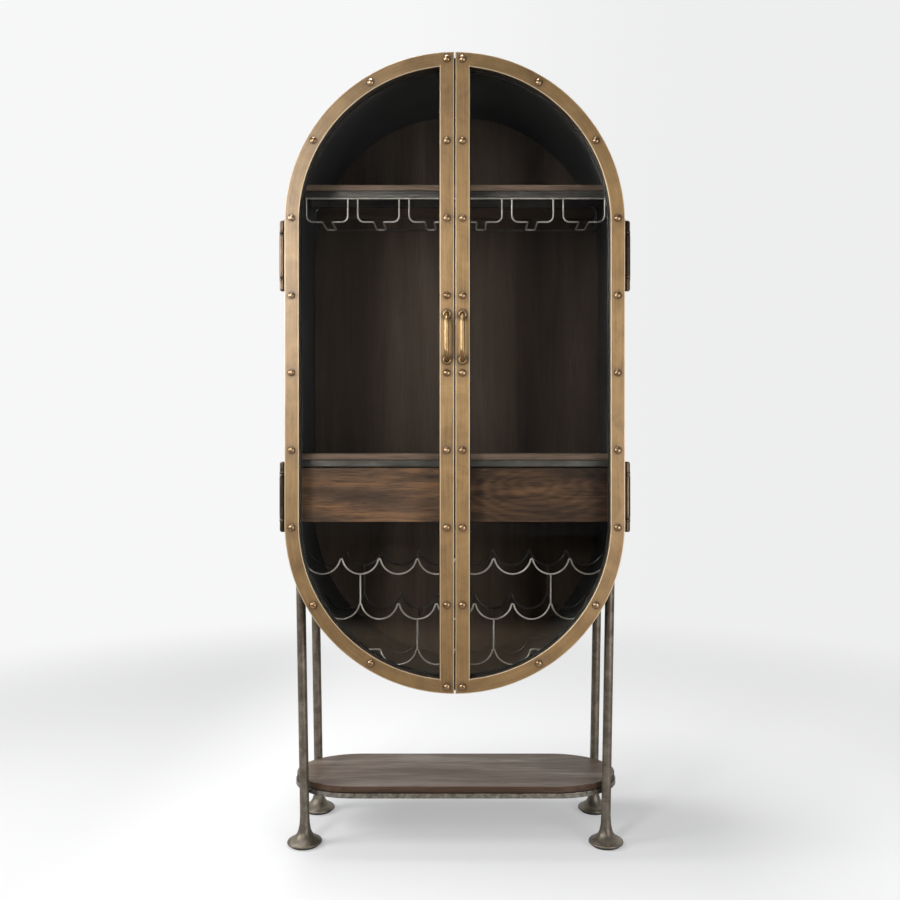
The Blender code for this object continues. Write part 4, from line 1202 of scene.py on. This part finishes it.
def eased_side(low_z, high_z, ease):
    """Insets and heights up an upright side, with an eased foot and a rounder top."""
    mid = ease * 0.3
    return ((ease, low_z), (0.0, low_z + ease), (0.0, high_z - ease), (mid, high_z - mid), (ease, high_z))


def level_shape(half_length, half_width, middle_y, profile, **ends):
    """Skin over a profile of insets and heights, carried round the lower shelf's outline."""
    shape = bmesh.new()
    rows = []
    for inset, z in profile:
        outline = low_outline(half_length - inset, half_width - inset, middle_y)
        rows.append([(x, y, z) for x, y in outline])
    loft(shape, rows, **ends)
    return shape


def build_low_shelf():
    low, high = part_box("lower_shelf_board")
    middle_y = (low.y + high.y) / 2
    half_length = (high.x - low.x) / 2
    half_width = (high.y - low.y) / 2
    shape = level_shape(half_length, half_width, middle_y, eased_side(low.z, high.z, 0.0014), caps=True)
    board = make_piece("lower_shelf_oval_board", shape, LOW_SHELF_WOOD_AND_SHEEN, "lower_shelf_board")
    board.data.materials.append(LOW_EDGE_SHADED_WOOD)
    # Faces that look up take the top's wood, partly painted sheen; the edge and underside take its darker
    # copy, painted shade
    for face in board.data.polygons:
        face.material_index = 0 if face.normal.z > 0.9 else 1

    low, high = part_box("lower_shelf_hoop")
    hoop_length = (high.x - low.x) / 2
    hoop_width = half_width + HOOP_SIDE_OVERHANG
    under = high.z - HOOP_FLANGE_THICKNESS
    profile = (
        *eased_side(low.z, high.z, 0.0010),
        (HOOP_FLANGE, high.z), (HOOP_FLANGE, under), (HOOP_WALL, under), (HOOP_WALL, low.z),
    )
    shape = level_shape(hoop_length, hoop_width, middle_y, profile, closed_loop=True)
    outer = low_outline(hoop_length, hoop_width, middle_y)
    lug_z = (low.z + high.z) / 2
    leg_x = LEG_FOOT_X + (LEG_TOP_X - LEG_FOOT_X) * (lug_z - FOOT_HEIGHT) / (LEG_TOP_Z - FOOT_HEIGHT)
    for word, side in SIDES:
        for end_word in ("front", "rear"):
            leg_place = Vector((side * leg_x, y_of(f"leg_{end_word}_{word}"), lug_z))
            nearest = min(outer, key=lambda spot: math.hypot(spot[0] - leg_place.x, spot[1] - leg_place.y))
            hoop_place = Vector((*nearest, lug_z))
            away = (leg_place - hoop_place).normalized()
            start = hoop_place - away * HOOP_WALL / 2
            end = leg_place - away * (LEG_RADIUS + GAP)
            radii = [LUG_RADIUS, LUG_WAIST, LUG_RADIUS]
            tube(shape, [start, (start + end) / 2, end], radii, 20, domed=False)
    make_piece("lower_shelf_hoop_steel", shape, HOOP_STEEL, "lower_shelf_hoop")


# Studio

CAMERA_X = 0.030
CAMERA_DISTANCE = 2.300
CAMERA_Z = 1.0216
CAMERA_LENS = 37.3
CAMERA_SHIFT_X = -0.0188
WALL_LEFT = (0.930, 0.932, 0.934)
WALL_RIGHT = (0.855, 0.857, 0.860)
ROOM_AHEAD = (0.030, 0.031, 0.033)
ROOM_BEHIND = (0.80, 0.80, 0.80)
ROOM_LIGHT = (0.30, 0.30, 0.305)
FLOOR_HALF = 9.0
FLOOR_GLOW_LEFT = (0.340, 0.342, 0.344)
FLOOR_GLOW_RIGHT = (0.345, 0.347, 0.350)
FLOOR_MATT_LEFT = (0.37, 0.37, 0.37)
FLOOR_MATT = (0.51, 0.51, 0.51)
FLOOR_MIRRORED = (0.36, 0.265, 0.180, 1.0)


def add_softbox(name, place, target, width, height, power):
    data = bpy.data.lights.new(name, "AREA")
    data.shape = "RECTANGLE"
    data.size = width
    data.size_y = height
    data.energy = power
    made = bpy.data.objects.new(name, data)
    made.location = place
    made.rotation_euler = (Vector(target) - made.location).to_track_quat("-Z", "Y").to_euler()
    SCENE.collection.objects.link(made)


def ray_kinds(tree):
    """Rays that see the surround straight or through glass, and rays that see it after a reflection."""
    path = node(tree, "LightPath").outputs
    undiffused = maths(tree, "LESS_THAN", path["Diffuse Depth"], 0.5)
    reflected = maths(tree, "GREATER_THAN", path["Glossy Depth"], 0.5)
    through = product(tree, path["Is Transmission Ray"], undiffused)
    through_reflected = product(tree, through, reflected)
    straight_through = maths(tree, "SUBTRACT", through, through_reflected)
    direct = maths(tree, "MAXIMUM", path["Is Camera Ray"], straight_through)
    glossy = product(tree, path["Is Glossy Ray"], undiffused)
    shiny = maths(tree, "MAXIMUM", glossy, through_reflected)
    return direct, shiny


def build_world():
    """White surround for the camera. Reflections see a bright room behind and a dim one ahead."""
    world = bpy.data.worlds.new("studio")
    SCENE.world = world
    world.use_nodes = True
    tree = world.node_tree
    tree.nodes.clear()
    direct, shiny = ray_kinds(tree)
    direction = coordinates(tree, "Generated")
    seen = blend(tree, carry(tree, direction["X"], -0.12, 0.22, smooth=True), WALL_LEFT, WALL_RIGHT)
    mirrored = blend(tree, carry(tree, direction["Y"], -0.15, 0.35, smooth=True), ROOM_AHEAD, ROOM_BEHIND)
    colour = blend(tree, shiny, ROOM_LIGHT, mirrored)
    colour = blend(tree, direct, colour, seen)
    background = node(tree, "Background", {"Color": colour, "Strength": 1.0})
    node(tree, "OutputWorld", {"Surface": background.outputs[0]})


def build_floor():
    """Pale floor that fades into the surround. In front, reflections see a plain warm tone in its place."""
    mesh = bpy.data.meshes.new("floor")
    shape = bmesh.new()
    bmesh.ops.create_grid(shape, x_segments=1, y_segments=1, size=FLOOR_HALF)
    shape.to_mesh(mesh)
    shape.free()
    floor = bpy.data.objects.new("floor", mesh)
    SCENE.collection.objects.link(floor)
    made, tree, shader = new_material("studio_floor")
    tree.nodes.remove(shader)
    direct, shiny = ray_kinds(tree)
    place = coordinates(tree)
    centred = {0: node(tree, "TexCoord").outputs["Object"]}
    radius = node(tree, "VectorMath", centred, operation="LENGTH").outputs["Value"]
    fade = carry(tree, radius, 1.5, 3.4, smooth=True)
    sideways = carry(tree, place["X"], -0.35, 0.65, smooth=True)
    inward = carry(tree, place["X"], -1.1, -0.4, smooth=True)
    glow_colour = blend(tree, sideways, FLOOR_GLOW_LEFT, FLOOR_GLOW_RIGHT)
    glow = node(tree, "Emission", {"Color": glow_colour, "Strength": direct})
    matt = node(tree, "BsdfDiffuse", {"Color": blend(tree, inward, FLOOR_MATT_LEFT, FLOOR_MATT)})
    lit = node(tree, "AddShader", {0: glow.outputs[0], 1: matt.outputs[0]})
    clear = node(tree, "BsdfTransparent")
    open_share = product(tree, fade, direct)
    mixed = node(tree, "MixShader", {0: open_share, 1: lit.outputs[0], 2: clear.outputs[0]})

    in_front = carry(tree, place["Y"], -0.4, -0.9)
    nearby = carry(tree, place["Y"], -3.5, -3.0)
    mirrored = node(tree, "Emission", {"Color": FLOOR_MIRRORED, "Strength": nearby})
    swap = product(tree, shiny, in_front)
    shown = node(tree, "MixShader", {0: swap, 1: mixed.outputs[0], 2: mirrored.outputs[0]})
    fill(tree, tree.nodes["Material Output"], {"Surface": shown.outputs[0]})
    floor.data.materials.append(made)


def build_camera():
    data = bpy.data.cameras.new("camera")
    data.sensor_width = 36.0
    data.lens = CAMERA_LENS
    data.shift_x = CAMERA_SHIFT_X
    data.clip_end = 60.0
    made = bpy.data.objects.new("camera", data)
    made.location = (CAMERA_X, DOOR_FACE_Y - CAMERA_DISTANCE, CAMERA_Z)
    made.rotation_euler = (math.radians(90.0), 0.0, 0.0)
    SCENE.collection.objects.link(made)
    SCENE.camera = made


build_camera()
build_world()
build_floor()
add_softbox("side_softbox", (-2.5, -0.7, 1.75), (0.0, 0.0, 0.4), width=1.0, height=1.1, power=44.0)
add_softbox("front_softbox", (-1.3, -2.6, 2.05), (-0.3, 0.0, 1.3), width=0.5, height=1.3, power=38.0)
add_softbox("front_fill", (2.0, -2.6, 0.9), (0.0, 0.0, 0.7), width=1.4, height=1.6, power=42.0)
add_softbox("top_softbox", (-0.4, 0.1, 4.2), (0.0, 0.0, 0.5), width=1.2, height=0.8, power=120.0)

build_case()
build_interior()
for door_word, _ in SIDES:
    build_drawer(door_word)
for door_word, door_side in SIDES:
    build_door_frame(door_word, door_side)
    build_rivets(door_word, door_side)
    build_glazing(door_word, door_side)
    build_handle(door_word, door_side)
    for hinge_mark in ("lower", "upper"):
        build_hinge(door_word, door_side, hinge_mark)
    for leg_end in ("front", "rear"):
        build_leg(door_word, door_side, leg_end)
build_stemware_rack()
build_wine_rack()
build_low_shelf()

SCENE.view_settings.view_transform = "Standard"
